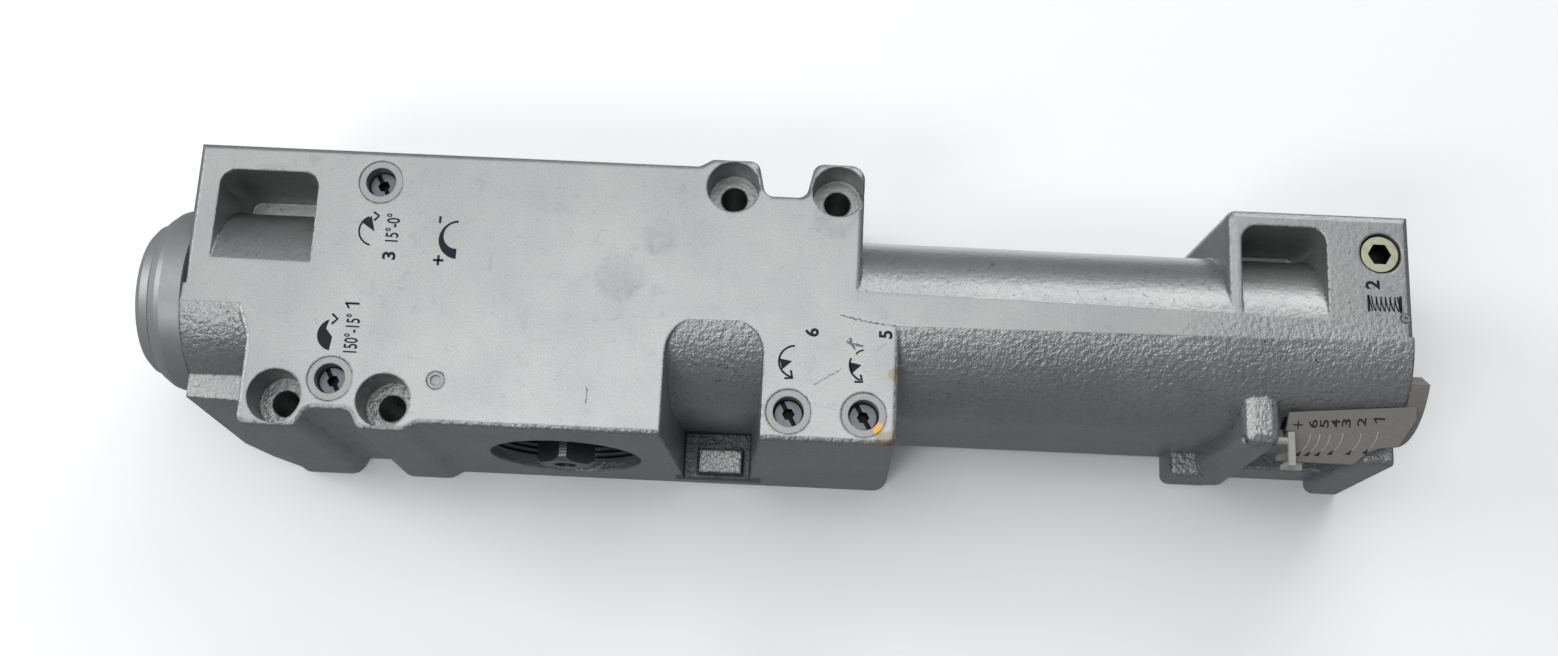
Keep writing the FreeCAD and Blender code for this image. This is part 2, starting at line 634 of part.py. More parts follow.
def right_end_cap():
    """Screwed cap that carries the lead screw's end."""
    thread = CAP_THREAD_RADIUS - RUNNING_FIT
    pilot = bore_rod(RIGHT_CAP_PILOT_RADIUS, RIGHT_CAP_INNER, END_RIGHT)
    boss = bore_rod(RIGHT_CAP_BOSS_RADIUS, END_RIGHT - 1.0, RIGHT_CAP_END)
    cap = bore_rod(thread, RIGHT_THREAD_LEFT, END_RIGHT).fuse([pilot, boss])
    cap = cap.cut(bore_rod(LEAD_SCREW_RADIUS - 1.0 + RUNNING_FIT, RIGHT_CAP_INNER - 1.0, RIGHT_CAP_END - 1.4))
    for sign in (1.0, -1.0):
        cap = cap.cut(rod(SPANNER_HOLE_RADIUS + 0.4, at(RIGHT_CAP_END - SPANNER_HOLE_DEPTH,
                      BORE_DEPTH, BORE_Z + sign * (RIGHT_CAP_BOSS_RADIUS - 4.0)), X_AXIS, 10.0))
    notch = radial_bar(RIGHT_CAP_INNER - 1.0, END_RIGHT + 1.0, BORE_RADIUS - 3.0, 30.0, SLOT_WIDTH)
    return cap.cut(notch)


def lock_pin():
    x, z, radius = LOCK_PIN
    pin = rod(radius, at(x, -LOCK_PIN_PROUD, z), Y_AXIS, LOCK_PIN_LENGTH)
    return pin.cut(rod(radius * 0.4, at(x, -1.0, z), Y_AXIS, 1.2))


def spindle():
    """Pinion, two journals and two drive squares set corner towards the front."""
    pitch_outline = gear_outline(PINION_TEETH, PINION_MODULE, PINION_ADDENDUM, PINION_DEDENDUM, TOOTH_BACKLASH)
    points = [at(v, SPINDLE_DEPTH - u, -PINION_HALF_LENGTH) for u, v in pitch_outline]
    gear = Part.Face(Part.makePolygon(points + points[:1])).extrude(Z_AXIS * (2.0 * PINION_HALF_LENGTH))
    shaft_half = SPINDLE_END - DRIVE_LENGTH
    shaft = rod(JOURNAL_RADIUS - RUNNING_FIT, at(0, SPINDLE_DEPTH, -shaft_half), Z_AXIS, 2.0 * shaft_half)
    square = Part.makeBox(DRIVE_FLATS, DRIVE_FLATS, 2.0 * SPINDLE_END,
                          FreeCAD.Vector(-DRIVE_FLATS / 2.0, -DRIVE_FLATS / 2.0, -SPINDLE_END))
    square.rotate(FreeCAD.Vector(0, 0, 0), Z_AXIS, 45.0)
    square.translate(at(0, SPINDLE_DEPTH, 0))
    chamfer = DRIVE_CHAMFER
    corner = DRIVE_CORNERS / 2.0
    stock = revolved(
        [(-SPINDLE_END, 0), (-SPINDLE_END, corner - chamfer), (-SPINDLE_END + chamfer, corner),
         (SPINDLE_END - chamfer, corner), (SPINDLE_END, corner - chamfer), (SPINDLE_END, 0)],
        at(0, SPINDLE_DEPTH, 0), Z_AXIS, X_AXIS)
    solid = gear.fuse([shaft, square.common(stock)])
    for sign in (1.0, -1.0):
        mouth = at(0, SPINDLE_DEPTH, sign * (SPINDLE_END + OVERCUT))
        solid = solid.cut(rod(DRIVE_SCREW_RADIUS, mouth, Z_AXIS * -sign, DRIVE_SCREW_DEPTH + OVERCUT))
    return solid


def gland_profile(sign):
    """Profile of a gland: outer face with a seal pocket, inner pocket for the bearing."""
    outer = SPINDLE_PORT_RADIUS - RUNNING_FIT
    hole = JOURNAL_RADIUS + GLAND_HOLE_GAP
    seal_floor = GLAND_FACE - GLAND_SEAL_POCKET
    bearing_end = GLAND_INNER + BEARING_LENGTH
    points = [
        (GLAND_INNER, BEARING_OUTER_RADIUS), (GLAND_INNER, outer), (GLAND_FACE - GLAND_CHAMFER, outer),
        (GLAND_FACE, outer - GLAND_CHAMFER), (GLAND_FACE, BEARING_OUTER_RADIUS),
        (seal_floor, BEARING_OUTER_RADIUS),
        (seal_floor, hole), (bearing_end, hole), (bearing_end, BEARING_OUTER_RADIUS),
    ]
    return [(sign * along, radius) for along, radius in points]


def gland_nut(sign):
    """Threaded gland in the spindle port, with two spanner holes."""
    base = at(0, SPINDLE_DEPTH, 0)
    gland = revolved(gland_profile(sign), base, Z_AXIS, X_AXIS)
    pitch_radius = (SPINDLE_PORT_RADIUS + BEARING_OUTER_RADIUS) / 2.0
    for side in (1.0, -1.0):
        spot = at(side * pitch_radius, SPINDLE_DEPTH, sign * (GLAND_FACE + OVERCUT))
        gland = gland.cut(rod(SPANNER_HOLE_RADIUS, spot, Z_AXIS * -sign, SPANNER_HOLE_DEPTH + OVERCUT))
    return gland


def spindle_ring(sign, low, high, outer, inner):
    """Ring round the spindle between two heights."""
    start = at(0, SPINDLE_DEPTH, min(sign * low, sign * high))
    ring = rod(outer, start, Z_AXIS, high - low)
    return ring.cut(rod(inner, start - Z_AXIS, Z_AXIS, high - low + 2.0))


def spindle_bearing(sign):
    low = GLAND_INNER + END_GAP
    high = GLAND_INNER + BEARING_LENGTH - END_GAP
    return spindle_ring(sign, low, high, BEARING_OUTER_RADIUS - SEAT_GAP, JOURNAL_RADIUS)


def spindle_seal(sign):
    low = GLAND_FACE - GLAND_SEAL_POCKET + END_GAP
    high = GLAND_FACE - 4.0 * END_GAP
    return spindle_ring(sign, low, high, BEARING_OUTER_RADIUS - SEAT_GAP, JOURNAL_RADIUS)


def rack_teeth():
    """Rack in front of the pinion; a tooth is centred on the spindle at rest."""
    pitch_depth = SPINDLE_DEPTH - PITCH_RADIUS
    tip = pitch_depth + RACK_ADDENDUM
    root = pitch_depth - RACK_DEDENDUM
    slope = math.tan(math.radians(PRESSURE_ANGLE))
    pitch = math.pi * PINION_MODULE
    half = pitch / 4.0 - TOOTH_BACKLASH / 2.0
    low, high = RACK_TOOTH_SPAN
    teeth = []
    for index in range(math.ceil(low / pitch), math.floor(high / pitch) + 1):
        x = index * pitch
        wide = half + slope * (pitch_depth - root)
        narrow = half - slope * RACK_ADDENDUM
        points = [at(x - wide, root, BORE_Z - RACK_HALF_WIDTH), at(x + wide, root, BORE_Z - RACK_HALF_WIDTH),
                  at(x + narrow, tip, BORE_Z - RACK_HALF_WIDTH), at(x - narrow, tip, BORE_Z - RACK_HALF_WIDTH)]
        teeth.append(Part.Face(Part.makePolygon(points + points[:1])).extrude(Z_AXIS * (2.0 * RACK_HALF_WIDTH)))
    return teeth, root


def piston():
    """Two heads joined by a half-round bridge that carries the rack."""
    radius = BORE_RADIUS - RUNNING_FIT
    teeth, root = rack_teeth()
    body = bore_rod(radius, PISTON_LEFT, PISTON_RIGHT)
    window = Part.makeBox(WINDOW_RIGHT - RACK_START, 80, 80, at(RACK_START, root, BORE_Z - 40))
    envelope = bore_rod(radius - 1.0, PISTON_LEFT, PISTON_RIGHT)
    body = body.cut(window).fuse([tooth.common(envelope) for tooth in teeth])
    grooves = []
    for start in piston_grooves():
        end = start + PISTON_GROOVE_WIDTH
        grooves.append(bore_ring(BORE_RADIUS + 1.0, radius - PISTON_GROOVE_DEPTH, start, end))
    z = BORE_Z + CHECK_VALVE_OFFSET
    mouth = at(PISTON_LEFT - OVERCUT, BORE_DEPTH, z)
    passage = rod(CHECK_PASSAGE_RADIUS, mouth, X_AXIS, PISTON_HEAD_LENGTH + 2.0 * OVERCUT)
    chamber = rod(CHECK_VALVE_RADIUS, mouth, X_AXIS, CHECK_CHAMBER_LENGTH + OVERCUT)
    recess = bore_rod(SEAT_HUB_RADIUS, PISTON_RIGHT - PISTON_RECESS, PISTON_RIGHT + OVERCUT)
    return body.cut(grooves + [passage, chamber, recess]).removeSplitter()


def piston_grooves():
    return (PISTON_LEFT + 14.0, PISTON_RIGHT - 8.0)


def piston_seal(start):
    outer = BORE_RADIUS - SEAT_GAP
    inner = BORE_RADIUS - RUNNING_FIT - PISTON_GROOVE_DEPTH + SEAT_GAP
    return bore_ring(outer, inner, start + END_GAP, start + PISTON_GROOVE_WIDTH - END_GAP)


def check_ball():
    centre = at(PISTON_LEFT + CHECK_CHAMBER_LENGTH - CHECK_BALL_RADIUS, BORE_DEPTH, BORE_Z + CHECK_VALVE_OFFSET)
    return Part.makeSphere(CHECK_BALL_RADIUS, centre)


def check_retainer():
    """Ring pressed into the piston that keeps the ball in its chamber."""
    start = at(PISTON_LEFT, BORE_DEPTH, BORE_Z + CHECK_VALVE_OFFSET)
    ring = rod(CHECK_VALVE_RADIUS - SEAT_GAP, start, X_AXIS, 5.4)
    return ring.cut(rod(1.6, start - X_AXIS, X_AXIS, 8.0))


def faceted_sweep(sections):
    """Closed solid of flat triangles through a row of closed sections, each a list of points."""
    faces = []
    count = len(sections[0])
    for near, far in zip(sections, sections[1:]):
        for index in range(count):
            following = (index + 1) % count
            corners = (near[index], near[following], far[following], far[index])
            for a, b, c in ((0, 1, 2), (0, 2, 3)):
                faces.append(Part.Face(Part.makePolygon([corners[a], corners[b], corners[c], corners[a]])))
    for ring in (sections[0], sections[-1]):
        faces.append(Part.Face(Part.makePolygon(ring + ring[:1])))
    solid = Part.makeSolid(Part.makeShell(faces))
    if solid.Volume < 0:
        solid.reverse()
    return solid


def coil_spring(wire, mean_radius, coils, left, right, hand):
    """Compression spring: a six-sided wire section carried round the helix in straight steps."""
    steps_per_turn = 12
    steps = int(coils * steps_per_turn)
    travel = right - left - wire
    sections = []
    for step in range(steps + 1):
        turn = step / steps_per_turn
        angle = hand * 2.0 * math.pi * turn
        along = left + wire / 2.0 + travel * spring_rise(turn, coils)
        out = FreeCAD.Vector(0, math.cos(angle), math.sin(angle))
        centre = at(along, BORE_DEPTH, BORE_Z) + out * mean_radius
        points = []
        for corner in range(6):
            bend = math.radians(60.0 * corner)
            points.append(centre + out * (wire / 2.0 * math.cos(bend)) + X_AXIS * (wire / 2.0 * math.sin(bend)))
        sections.append(points)
    return faceted_sweep(sections)


def spring_rise(turn, coils):
    """Share of the length reached after some turns; the two end coils lie nearly closed."""
    closed = 0.45
    whole = coils - 2.0 + 2.0 * closed
    if turn < 1.0:
        return closed * turn / whole
    if turn > coils - 1.0:
        return (whole - closed * (coils - turn)) / whole
    return (closed + turn - 1.0) / whole


def spring_ends():
    """The springs fill the space between the piston and the seat."""
    return PISTON_RIGHT + END_GAP, SEAT_LEFT - END_GAP


def outer_spring():
    mean = BORE_RADIUS - SPRING_CLEARANCE - SPRING_WIRE / 2.0
    left, right = spring_ends()
    return coil_spring(SPRING_WIRE, mean, SPRING_COILS, left, right, 1.0)


def inner_spring():
    mean = LEAD_SCREW_RADIUS + SPRING_CLEARANCE + INNER_SPRING_WIRE / 2.0 + 1.6
    left, right = spring_ends()
    return coil_spring(INNER_SPRING_WIRE, mean, INNER_SPRING_COILS, left, right, -1.0)


def spring_seat():
    """Seat and nut on the lead screw, with the tongue and finger that move the pointer."""
    hub_end = SEAT_LEFT + SEAT_FLANGE + SEAT_HUB_LENGTH
    flange = bore_rod(BORE_RADIUS - 2.0 * RUNNING_FIT, SEAT_LEFT, SEAT_LEFT + SEAT_FLANGE)
    hub = bore_rod(SEAT_HUB_RADIUS, SEAT_LEFT, hub_end)
    tongue_outer = BORE_RADIUS - 0.4
    tongue_inner = WHEEL_RADIUS + WHEEL_ADDENDUM + 0.5
    left, right = finger_ends()
    tongue = radial_bar(SEAT_LEFT + 1.0, right, tongue_inner, tongue_outer, FINGER_WIDTH)
    finger = radial_bar(left, right, tongue_inner, finger_reach(), FINGER_WIDTH)
    seat = flange.fuse([hub, tongue, finger])
    thread = bore_rod(LEAD_SCREW_RADIUS + RUNNING_FIT, SEAT_LEFT - OVERCUT, hub_end + OVERCUT)
    return seat.cut(thread).removeSplitter()


def finger_ends():
    """Where the finger starts and ends along the body, just behind the pointer's mark."""
    left = POINTER_X + FINGER_SETBACK
    return left, left + FINGER_WIDTH


def finger_reach():
    """Distance of the finger's tip from the bore axis."""
    return TUBE_RADIUS_RIGHT + FINGER_PROUD


def pointer():
    """Strip from the finger round the plate's lower edge, up to its mark, with a short rod."""
    left, right = finger_ends()
    foot_end = finger_reach() + POINTER_FOOT
    foot = radial_bar(left, right, finger_reach(), foot_end, FINGER_WIDTH - 0.4)
    tip = at(0, BORE_DEPTH, BORE_Z) + finger_frame() * foot_end
    back = POINTER_STEM + POINTER_STRIP
    low = BORE_Z + PLATE_BOTTOM - POINTER_STRIP / 2.0 - POINTER_STRIP
    link_front = tip.y - FRONT_Y - 0.5
    link = Part.makeBox(FINGER_WIDTH, back - link_front, POINTER_STRIP,
                        at(left, link_front, tip.z - POINTER_STRIP))
    stem = Part.makeBox(FINGER_WIDTH, POINTER_STRIP, tip.z - low, at(left, POINTER_STEM, low))
    rear = Part.makeBox(right - POINTER_X, POINTER_STRIP, POINTER_STRIP, at(POINTER_X, POINTER_STEM, low))
    under = Part.makeBox(POINTER_WIDTH, back - POINTER_FACE, POINTER_STRIP, at(POINTER_X, POINTER_FACE, low))
    mark = Part.makeBox(POINTER_WIDTH, POINTER_THICKNESS, POINTER_TOP - low, at(POINTER_X, POINTER_FACE, low))
    rod_end = at(POINTER_X - POINTER_ROD_LENGTH, POINTER_ROD_DEPTH, POINTER_ROD_Z)
    shank = rod(POINTER_ROD_RADIUS, rod_end, X_AXIS, POINTER_ROD_LENGTH + POINTER_WIDTH / 2.0)
    return foot.fuse([link, stem, rear, under, mark, shank]).removeSplitter()


def lead_screw():
    """Plain model of the preload screw, with the flange that carries the worm wheel."""
    screw = bore_rod(LEAD_SCREW_RADIUS, LEAD_SCREW_LEFT, RIGHT_CAP_INNER - 0.2)
    end = bore_rod(LEAD_SCREW_RADIUS - 1.0, RIGHT_CAP_INNER - 1.0, RIGHT_CAP_END - 1.7)
    collar = bore_rod(LEAD_SCREW_RADIUS + 3.0, WORM_X - WHEEL_WIDTH / 2.0 - 1.5, WORM_X - WHEEL_WIDTH / 2.0)
    return screw.fuse([end, collar])


def worm_wheel():
    """Wheel on the lead screw; its tooth gaps slant with the worm's lead angle."""
    tip = WHEEL_RADIUS + WHEEL_ADDENDUM
    root = WHEEL_RADIUS - WHEEL_DEDENDUM
    half = WHEEL_WIDTH / 2.0 + 1.0
    lead_slope = WORM_STARTS * WHEEL_MODULE / (2.0 * WORM_RADIUS)
    flank = math.tan(math.radians(PRESSURE_ANGLE) + math.pi / (2.0 * WHEEL_TEETH))
    gap = math.pi * WHEEL_MODULE / 4.0 + TOOTH_BACKLASH / 2.0
    outline = [(root, gap - flank * WHEEL_DEDENDUM), (tip + 0.6, gap + flank * (WHEEL_ADDENDUM + 0.6))]
    outline += [(up, -across) for up, across in reversed(outline)]
    cutters = []
    for tooth in range(WHEEL_TEETH):
        angle = 2.0 * math.pi * tooth / WHEEL_TEETH
        radial = FreeCAD.Vector(0, math.sin(angle), math.cos(angle))
        around = FreeCAD.Vector(0, math.cos(angle), -math.sin(angle))
        sweep = (X_AXIS + around * lead_slope) * half
        centre = at(WORM_X, BORE_DEPTH, BORE_Z) - sweep
        points = [centre + radial * up + around * across for up, across in outline]
        cutters.append(Part.Face(Part.makePolygon(points + points[:1])).extrude(sweep * 2.0))
    blank = bore_ring(tip, LEAD_SCREW_RADIUS + SEAT_GAP, WORM_X - WHEEL_WIDTH / 2.0, WORM_X + WHEEL_WIDTH / 2.0)
    return blank.cut(cutters)


def worm_section(turn):
    """Cross-section of the worm, turned by an angle, as (x, z) points round its axis."""
    tip = WORM_RADIUS + WHEEL_ADDENDUM
    root = WORM_RADIUS - WHEEL_DEDENDUM
    per_mm = 2.0 / (WORM_STARTS * WHEEL_MODULE)
    slope = math.tan(math.radians(PRESSURE_ANGLE))
    tip_half = (math.pi * WHEEL_MODULE / 4.0 - TOOTH_BACKLASH / 2.0 - slope * WHEEL_ADDENDUM) * per_mm
    root_half = (math.pi * WHEEL_MODULE / 4.0 - TOOTH_BACKLASH / 2.0 + slope * WHEEL_DEDENDUM) * per_mm
    start_gap = 2.0 * math.pi / WORM_STARTS
    polar = []
    for start in range(WORM_STARTS):
        centre = start * start_gap
        polar += [(root, centre - root_half), (tip, centre - tip_half), (tip, centre), (tip, centre + tip_half),
                  (root, centre + root_half), (root, centre + start_gap / 2.0)]
    return [(radius * math.cos(angle + turn), radius * math.sin(angle + turn)) for radius, angle in polar]


def adjuster_worm():
    """Spring adjuster: socket head, journal, two-start worm and tail."""
    steps_per_turn = 14
    lead = WORM_STARTS * math.pi * WHEEL_MODULE
    steps = int(2.0 * WORM_HALF_LENGTH / lead * steps_per_turn)
    sections = []
    for step in range(steps + 1):
        offset = (step / steps - 0.5) * 2.0 * WORM_HALF_LENGTH
        turn = 2.0 * math.pi * offset / lead - math.pi / 2.0
        sections.append([at(WORM_X + u, BORE_DEPTH + offset, WORM_Z + v) for u, v in worm_section(turn)])
    thread = faceted_sweep(sections)
    thread_start = BORE_DEPTH - WORM_HALF_LENGTH
    head = rod(WORM_HEAD_RADIUS, at(WORM_X, WORM_HEAD_FACE, WORM_Z), Y_AXIS, WORM_JOURNAL_START - WORM_HEAD_FACE)
    journal = rod(WORM_HOLE_RADIUS - RUNNING_FIT, at(WORM_X, WORM_JOURNAL_START, WORM_Z), Y_AXIS,
                  thread_start - WORM_JOURNAL_START - 1.0)
    neck = rod(WORM_RADIUS - WHEEL_DEDENDUM - 0.1, at(WORM_X, thread_start - 1.5, WORM_Z), Y_AXIS, 2.0)
    tail = rod(WORM_TAIL_RADIUS, at(WORM_X, BORE_DEPTH, WORM_Z), Y_AXIS, WORM_HALF_LENGTH + WORM_TAIL_LENGTH)
    socket = hexagon_prism(WORM_SOCKET_FLATS, at(WORM_X, WORM_HEAD_FACE - 1.0, WORM_Z), Y_AXIS, X_AXIS,
                           WORM_SOCKET_DEPTH + 1.0)
    return thread.fuse([head, journal, neck, tail]).cut(socket)


def worm_circlip():
    """Retaining ring in front of the worm's journal."""
    ring = rod(WORM_HOLE_RADIUS - 0.02, at(WORM_X, WORM_JOURNAL_START - 0.9, WORM_Z), Y_AXIS, 0.8)
    return ring.cut(rod(WORM_HEAD_RADIUS + 0.06, at(WORM_X, 0, WORM_Z), Y_AXIS, 20.0))


def valve_ring(x, z):
    """Brass ring pressed flush into the front face."""
    ring = rod(VALVE_RING_RADIUS, at(x, VALVE_RING_FACE, z), Y_AXIS, VALVE_RING_LENGTH)
    return ring.cut(rod(VALVE_RING_BORE, at(x, -1, z), Y_AXIS, 20.0))


def valve_screw(x, z):
    """Regulating screw with a slot, a hexagon socket and a needle tip."""
    head = VALVE_RING_BORE - RUNNING_FIT
    chamfer = head - 0.4
    floor = VALVE_STEM_RADIUS - VALVE_GROOVE_DEPTH
    groove_end = VALVE_GROOVE_START + VALVE_GROOVE_WIDTH
    tip = VALVE_STEM_END
    profile = [
        (VALVE_SCREW_FACE, 0), (VALVE_SCREW_FACE, chamfer), (VALVE_SCREW_FACE + head - chamfer, head),
        (VALVE_GROOVE_START, head), (VALVE_GROOVE_START, floor), (groove_end, floor),
        (groove_end, VALVE_STEM_RADIUS), (tip - VALVE_TIP_LENGTH, VALVE_STEM_RADIUS),
        (tip, VALVE_TIP_RADIUS), (tip, 0),
    ]
    screw = revolved(profile, at(x, 0, z), Y_AXIS, X_AXIS)
    reach = 2.0 * VALVE_RING_BORE
    slot = Part.makeBox(2.0 * reach, VALVE_SLOT_DEPTH + OVERCUT, VALVE_SLOT_WIDTH,
                        at(x - reach, VALVE_SCREW_FACE - OVERCUT, z - VALVE_SLOT_WIDTH / 2.0))
    slot.rotate(at(x, 0, z), Y_AXIS, VALVE_SLOT_ANGLE)
    socket = hexagon_prism(VALVE_SOCKET_FLATS, at(x, VALVE_SCREW_FACE - OVERCUT, z), Y_AXIS, X_AXIS,
                           VALVE_SOCKET_DEPTH + OVERCUT)
    return screw.cut([slot, socket])


def valve_seal(x, z):
    """Seal ring in the screw's groove, against the ring's bore."""
    length = VALVE_GROOVE_WIDTH - 4.0 * END_GAP
    ring = rod(VALVE_RING_BORE - SEAT_GAP, at(x, VALVE_GROOVE_START + END_GAP, z), Y_AXIS, length)
    hole = VALVE_STEM_RADIUS - VALVE_GROOVE_DEPTH + SEAT_GAP
    return ring.cut(rod(hole, at(x, VALVE_GROOVE_START - OVERCUT, z), Y_AXIS, length + 3.0 * OVERCUT))


def gallery_plug():
    x, z, radius = GALLERY_PLUG
    plug = rod(radius, at(x, GALLERY_PLUG_FACE, z), Y_AXIS, GALLERY_PLUG_LENGTH - GALLERY_PLUG_FACE)
    recess = rod(radius * 0.6, at(x, -OVERCUT, z), Y_AXIS, OVERCUT + GALLERY_PLUG_FACE + GALLERY_PLUG_RECESS)
    return plug.cut(recess)


def scale_plate():
    """Plastic scale: a bowed panel below the tube and a flange round the end face."""
    top = BORE_Z + PLATE_TOP
    bottom = BORE_Z + PLATE_BOTTOM
    middle = at(0, (PLATE_FACE + PLATE_FOOT_FACE) / 2.0 - PLATE_BOW, (top + bottom) / 2.0)
    outer = Part.Arc(at(0, PLATE_FACE, top), middle, at(0, PLATE_FOOT_FACE, bottom)).toShape()
    inner = outer.copy()
    inner.translate(Y_AXIS * PLATE_THICKNESS)
    edges = [outer, inner]
    for near, far in zip(outer.Vertexes, inner.Vertexes):
        edges.append(Part.LineSegment(near.Point, far.Point).toShape())
    profile = Part.Face(Part.Wire(Part.sortEdges(edges)[0]))
    left = min(x for x, z in PLATE_OUTLINE) - OVERCUT
    right = max(x for x, z in PLATE_OUTLINE) + OVERCUT
    profile.translate(X_AXIS * (END_RIGHT + left))
    sheet = profile.extrude(X_AXIS * (right - left))
    outline = [at(END_RIGHT + x, 0, BORE_Z + z) for x, z in PLATE_OUTLINE]
    panel = sheet.common(Part.Face(Part.makePolygon(outline + outline[:1])).extrude(Y_AXIS * BORE_DEPTH))
    flange = bore_ring(PLATE_FLANGE_RADIUS, PLATE_FLANGE_INNER, END_RIGHT, END_RIGHT + PLATE_FLANGE_WIDTH)
    points = [at(END_RIGHT - OVERCUT, BORE_DEPTH, BORE_Z)]
    for share in (0.0, 0.5, 1.0):
        angle = math.radians(PLATE_FLANGE_START + share * PLATE_FLANGE_SPAN)
        outward = FreeCAD.Vector(0, -math.cos(angle), -math.sin(angle))
        points.append(points[0] + outward * (2.0 * PLATE_FLANGE_RADIUS))
    sector = Part.Face(Part.makePolygon(points + points[:1]))
    wedge = sector.extrude(X_AXIS * (PLATE_FLANGE_WIDTH + 2.0 * OVERCUT))
    return panel.fuse(flange.common(wedge)).removeSplitter()


def parts():
    """All sub-parts by node name."""
    left_seal_x = BLOCK_LEFT + CAP_SEAL_START
    made = {
        "body_casting": body_casting(),
        "left_end_cap": left_end_cap(),
        "left_cap_seal": cap_seal(left_seal_x, CAP_THREAD_RADIUS - RUNNING_FIT - CAP_SEAL_DEPTH),
        "right_end_cap": right_end_cap(),
        "lock_pin": lock_pin(),
        "spindle": spindle(),
        "piston": piston(),
        "check_ball": check_ball(),
        "check_retainer": check_retainer(),
        "outer_spring": outer_spring(),
        "inner_spring": inner_spring(),
        "spring_seat": spring_seat(),
        "pointer": pointer(),
        "lead_screw": lead_screw(),
        "worm_wheel": worm_wheel(),
        "adjuster_worm": adjuster_worm(),
        "worm_circlip": worm_circlip(),
        "gallery_plug": gallery_plug(),
        "scale_plate": scale_plate(),
    }
    for name, sign in (("upper", 1.0), ("lower", -1.0)):
        made[name + "_gland_nut"] = gland_nut(sign)
        made[name + "_spindle_bearing"] = spindle_bearing(sign)
        made[name + "_spindle_seal"] = spindle_seal(sign)
    for name, start in zip(("left", "right"), piston_grooves()):
        made["piston_seal_" + name] = piston_seal(start)
    for name, (x, z) in VALVES.items():
        made["valve_ring_" + name] = valve_ring(x, z)
        made["valve_screw_" + name] = valve_screw(x, z)
        made["valve_seal_" + name] = valve_seal(x, z)
    return made


os.makedirs("parts", exist_ok=True)
for node, shape in parts().items():
    shape.exportStep("parts/" + node + ".step")
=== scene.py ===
import math

import bmesh
import bpy
from mathutils import Euler, Matrix, Vector


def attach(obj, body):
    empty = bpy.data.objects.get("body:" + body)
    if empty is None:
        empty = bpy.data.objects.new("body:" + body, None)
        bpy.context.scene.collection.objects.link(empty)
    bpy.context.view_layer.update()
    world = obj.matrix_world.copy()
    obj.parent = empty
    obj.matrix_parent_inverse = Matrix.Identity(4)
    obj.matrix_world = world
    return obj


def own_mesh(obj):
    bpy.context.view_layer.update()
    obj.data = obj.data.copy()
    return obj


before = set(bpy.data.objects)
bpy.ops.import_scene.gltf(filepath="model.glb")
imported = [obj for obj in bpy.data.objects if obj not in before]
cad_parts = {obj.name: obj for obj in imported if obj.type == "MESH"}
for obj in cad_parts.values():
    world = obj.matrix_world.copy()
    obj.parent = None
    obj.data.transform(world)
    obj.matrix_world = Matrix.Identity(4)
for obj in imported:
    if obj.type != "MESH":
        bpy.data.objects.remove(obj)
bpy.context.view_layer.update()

# Surface door closer, dressed, in the part's own frame: metres, +X along the body, +Y into the
# door, +Z up along the spindle. It lies on its door face on a pale table and the camera looks
# down on its front. Sizes of the object are millimetres until a shape is finished; the lights,
# the table and the camera are placed in metres.
MM = 0.001
FRONT = -60.0
SPINDLE_Y = -28.0

# Each print stands a little off its surface
PRINT_LIFT = 0.04

# Scale plate: its upper edge and height, how far that edge lies behind the front, how far the
# plate leans back over its height, and how far it bows forward in the middle
PLATE_TOP = -17.6
PLATE_HEIGHT = 13.6
PLATE_SET_BACK = 6.0
PLATE_LEAN = 6.4
PLATE_BOW = 0.2

# Spindle ports: the bore, the gland's outer face, and the thread cut above it
PORT_RADIUS = 19.3
GLAND_FACE = 28.0
THREAD_PITCH = 1.5
THREAD_DEPTH = 0.55
THREAD_TURNS = 3
THREAD_CLEARANCE = 0.03

# The milled front runs out into cast skin toward the end block
MILLED_FULL = 140.0
MILLED_ENDS = 172.0

# The underside starts below this height, and the skin is roughest below the middle of the body
UNDERSIDE = -22.0
ROUGH_BELOW = -8.0
CALM_ABOVE = 6.0

# Parting line of the die along the underside
PARTING_Y = -21.0
PARTING_HALF = 0.18

# Floor of the recess in the saddle, round its pad, where the coat is painted darker as shade
RECESS_Y = -7.0
RECESS_HALF_DEPTH = 3.3
RECESS_X = 38.5
RECESS_HALF_LENGTH = 11.5

# Patterns in the coats, counted per millimetre
FLAKES = 2.4
CLOUDS = 0.05
SMUDGES = 0.3
RAGGED_RIMS = 1.1
DARK_SPOTS = 0.7
CAST_LUMPS = 0.78
CAST_PITS = 1.9
EDGE_SPECKS = 0.9
OIL_STAINS = 0.5

# What handling has left on the front: x, z and radius of chips and smears, and start, end and
# half width of scratches
CHIPS = ((81.5, -16.9, 2.0), (80.9, -32.8, 2.6), (78.6, -32.4, 1.7))
SMEARS = ((14.0, 4.0, 9.0), (23.0, 15.0, 7.0), (-74.0, 24.0, 9.0), (66.0, 22.0, 8.0))
SCRATCHES = (
    ((68.1, -2.7), (75.1, -4.2), 0.24),
    ((75.1, -4.2), (81.3, -4.8), 0.2),
    ((70.0, -9.4), (73.6, -10.2), 0.45),
    ((70.6, -8.6), (71.8, -11.2), 0.4),
    ((8.0, -23.4), (8.2, -27.4), 0.2),
    ((62.4, -20.3), (68.6, -16.2), 0.16),
)
RIM_SHAKE = 1.6
WORN_RING_SPOT = (78.3, -30.4, 1.9)

# The wave texture draws one band each WAVE_BAND / scale
WAVE_BAND = 0.314


def colour(code):
    """Linear colour from an sRGB hex code."""
    parts = [int(code[i:i + 2], 16) / 255.0 for i in (1, 3, 5)]
    return tuple(c / 12.92 if c <= 0.04045 else ((c + 0.055) / 1.055) ** 2.4 for c in parts) + (1.0,)


def darker(code, share):
    """The colour of a hex code with its light cut to a share."""
    red, green, blue, _ = colour(code)
    return (red * share, green * share, blue * share, 1.0)


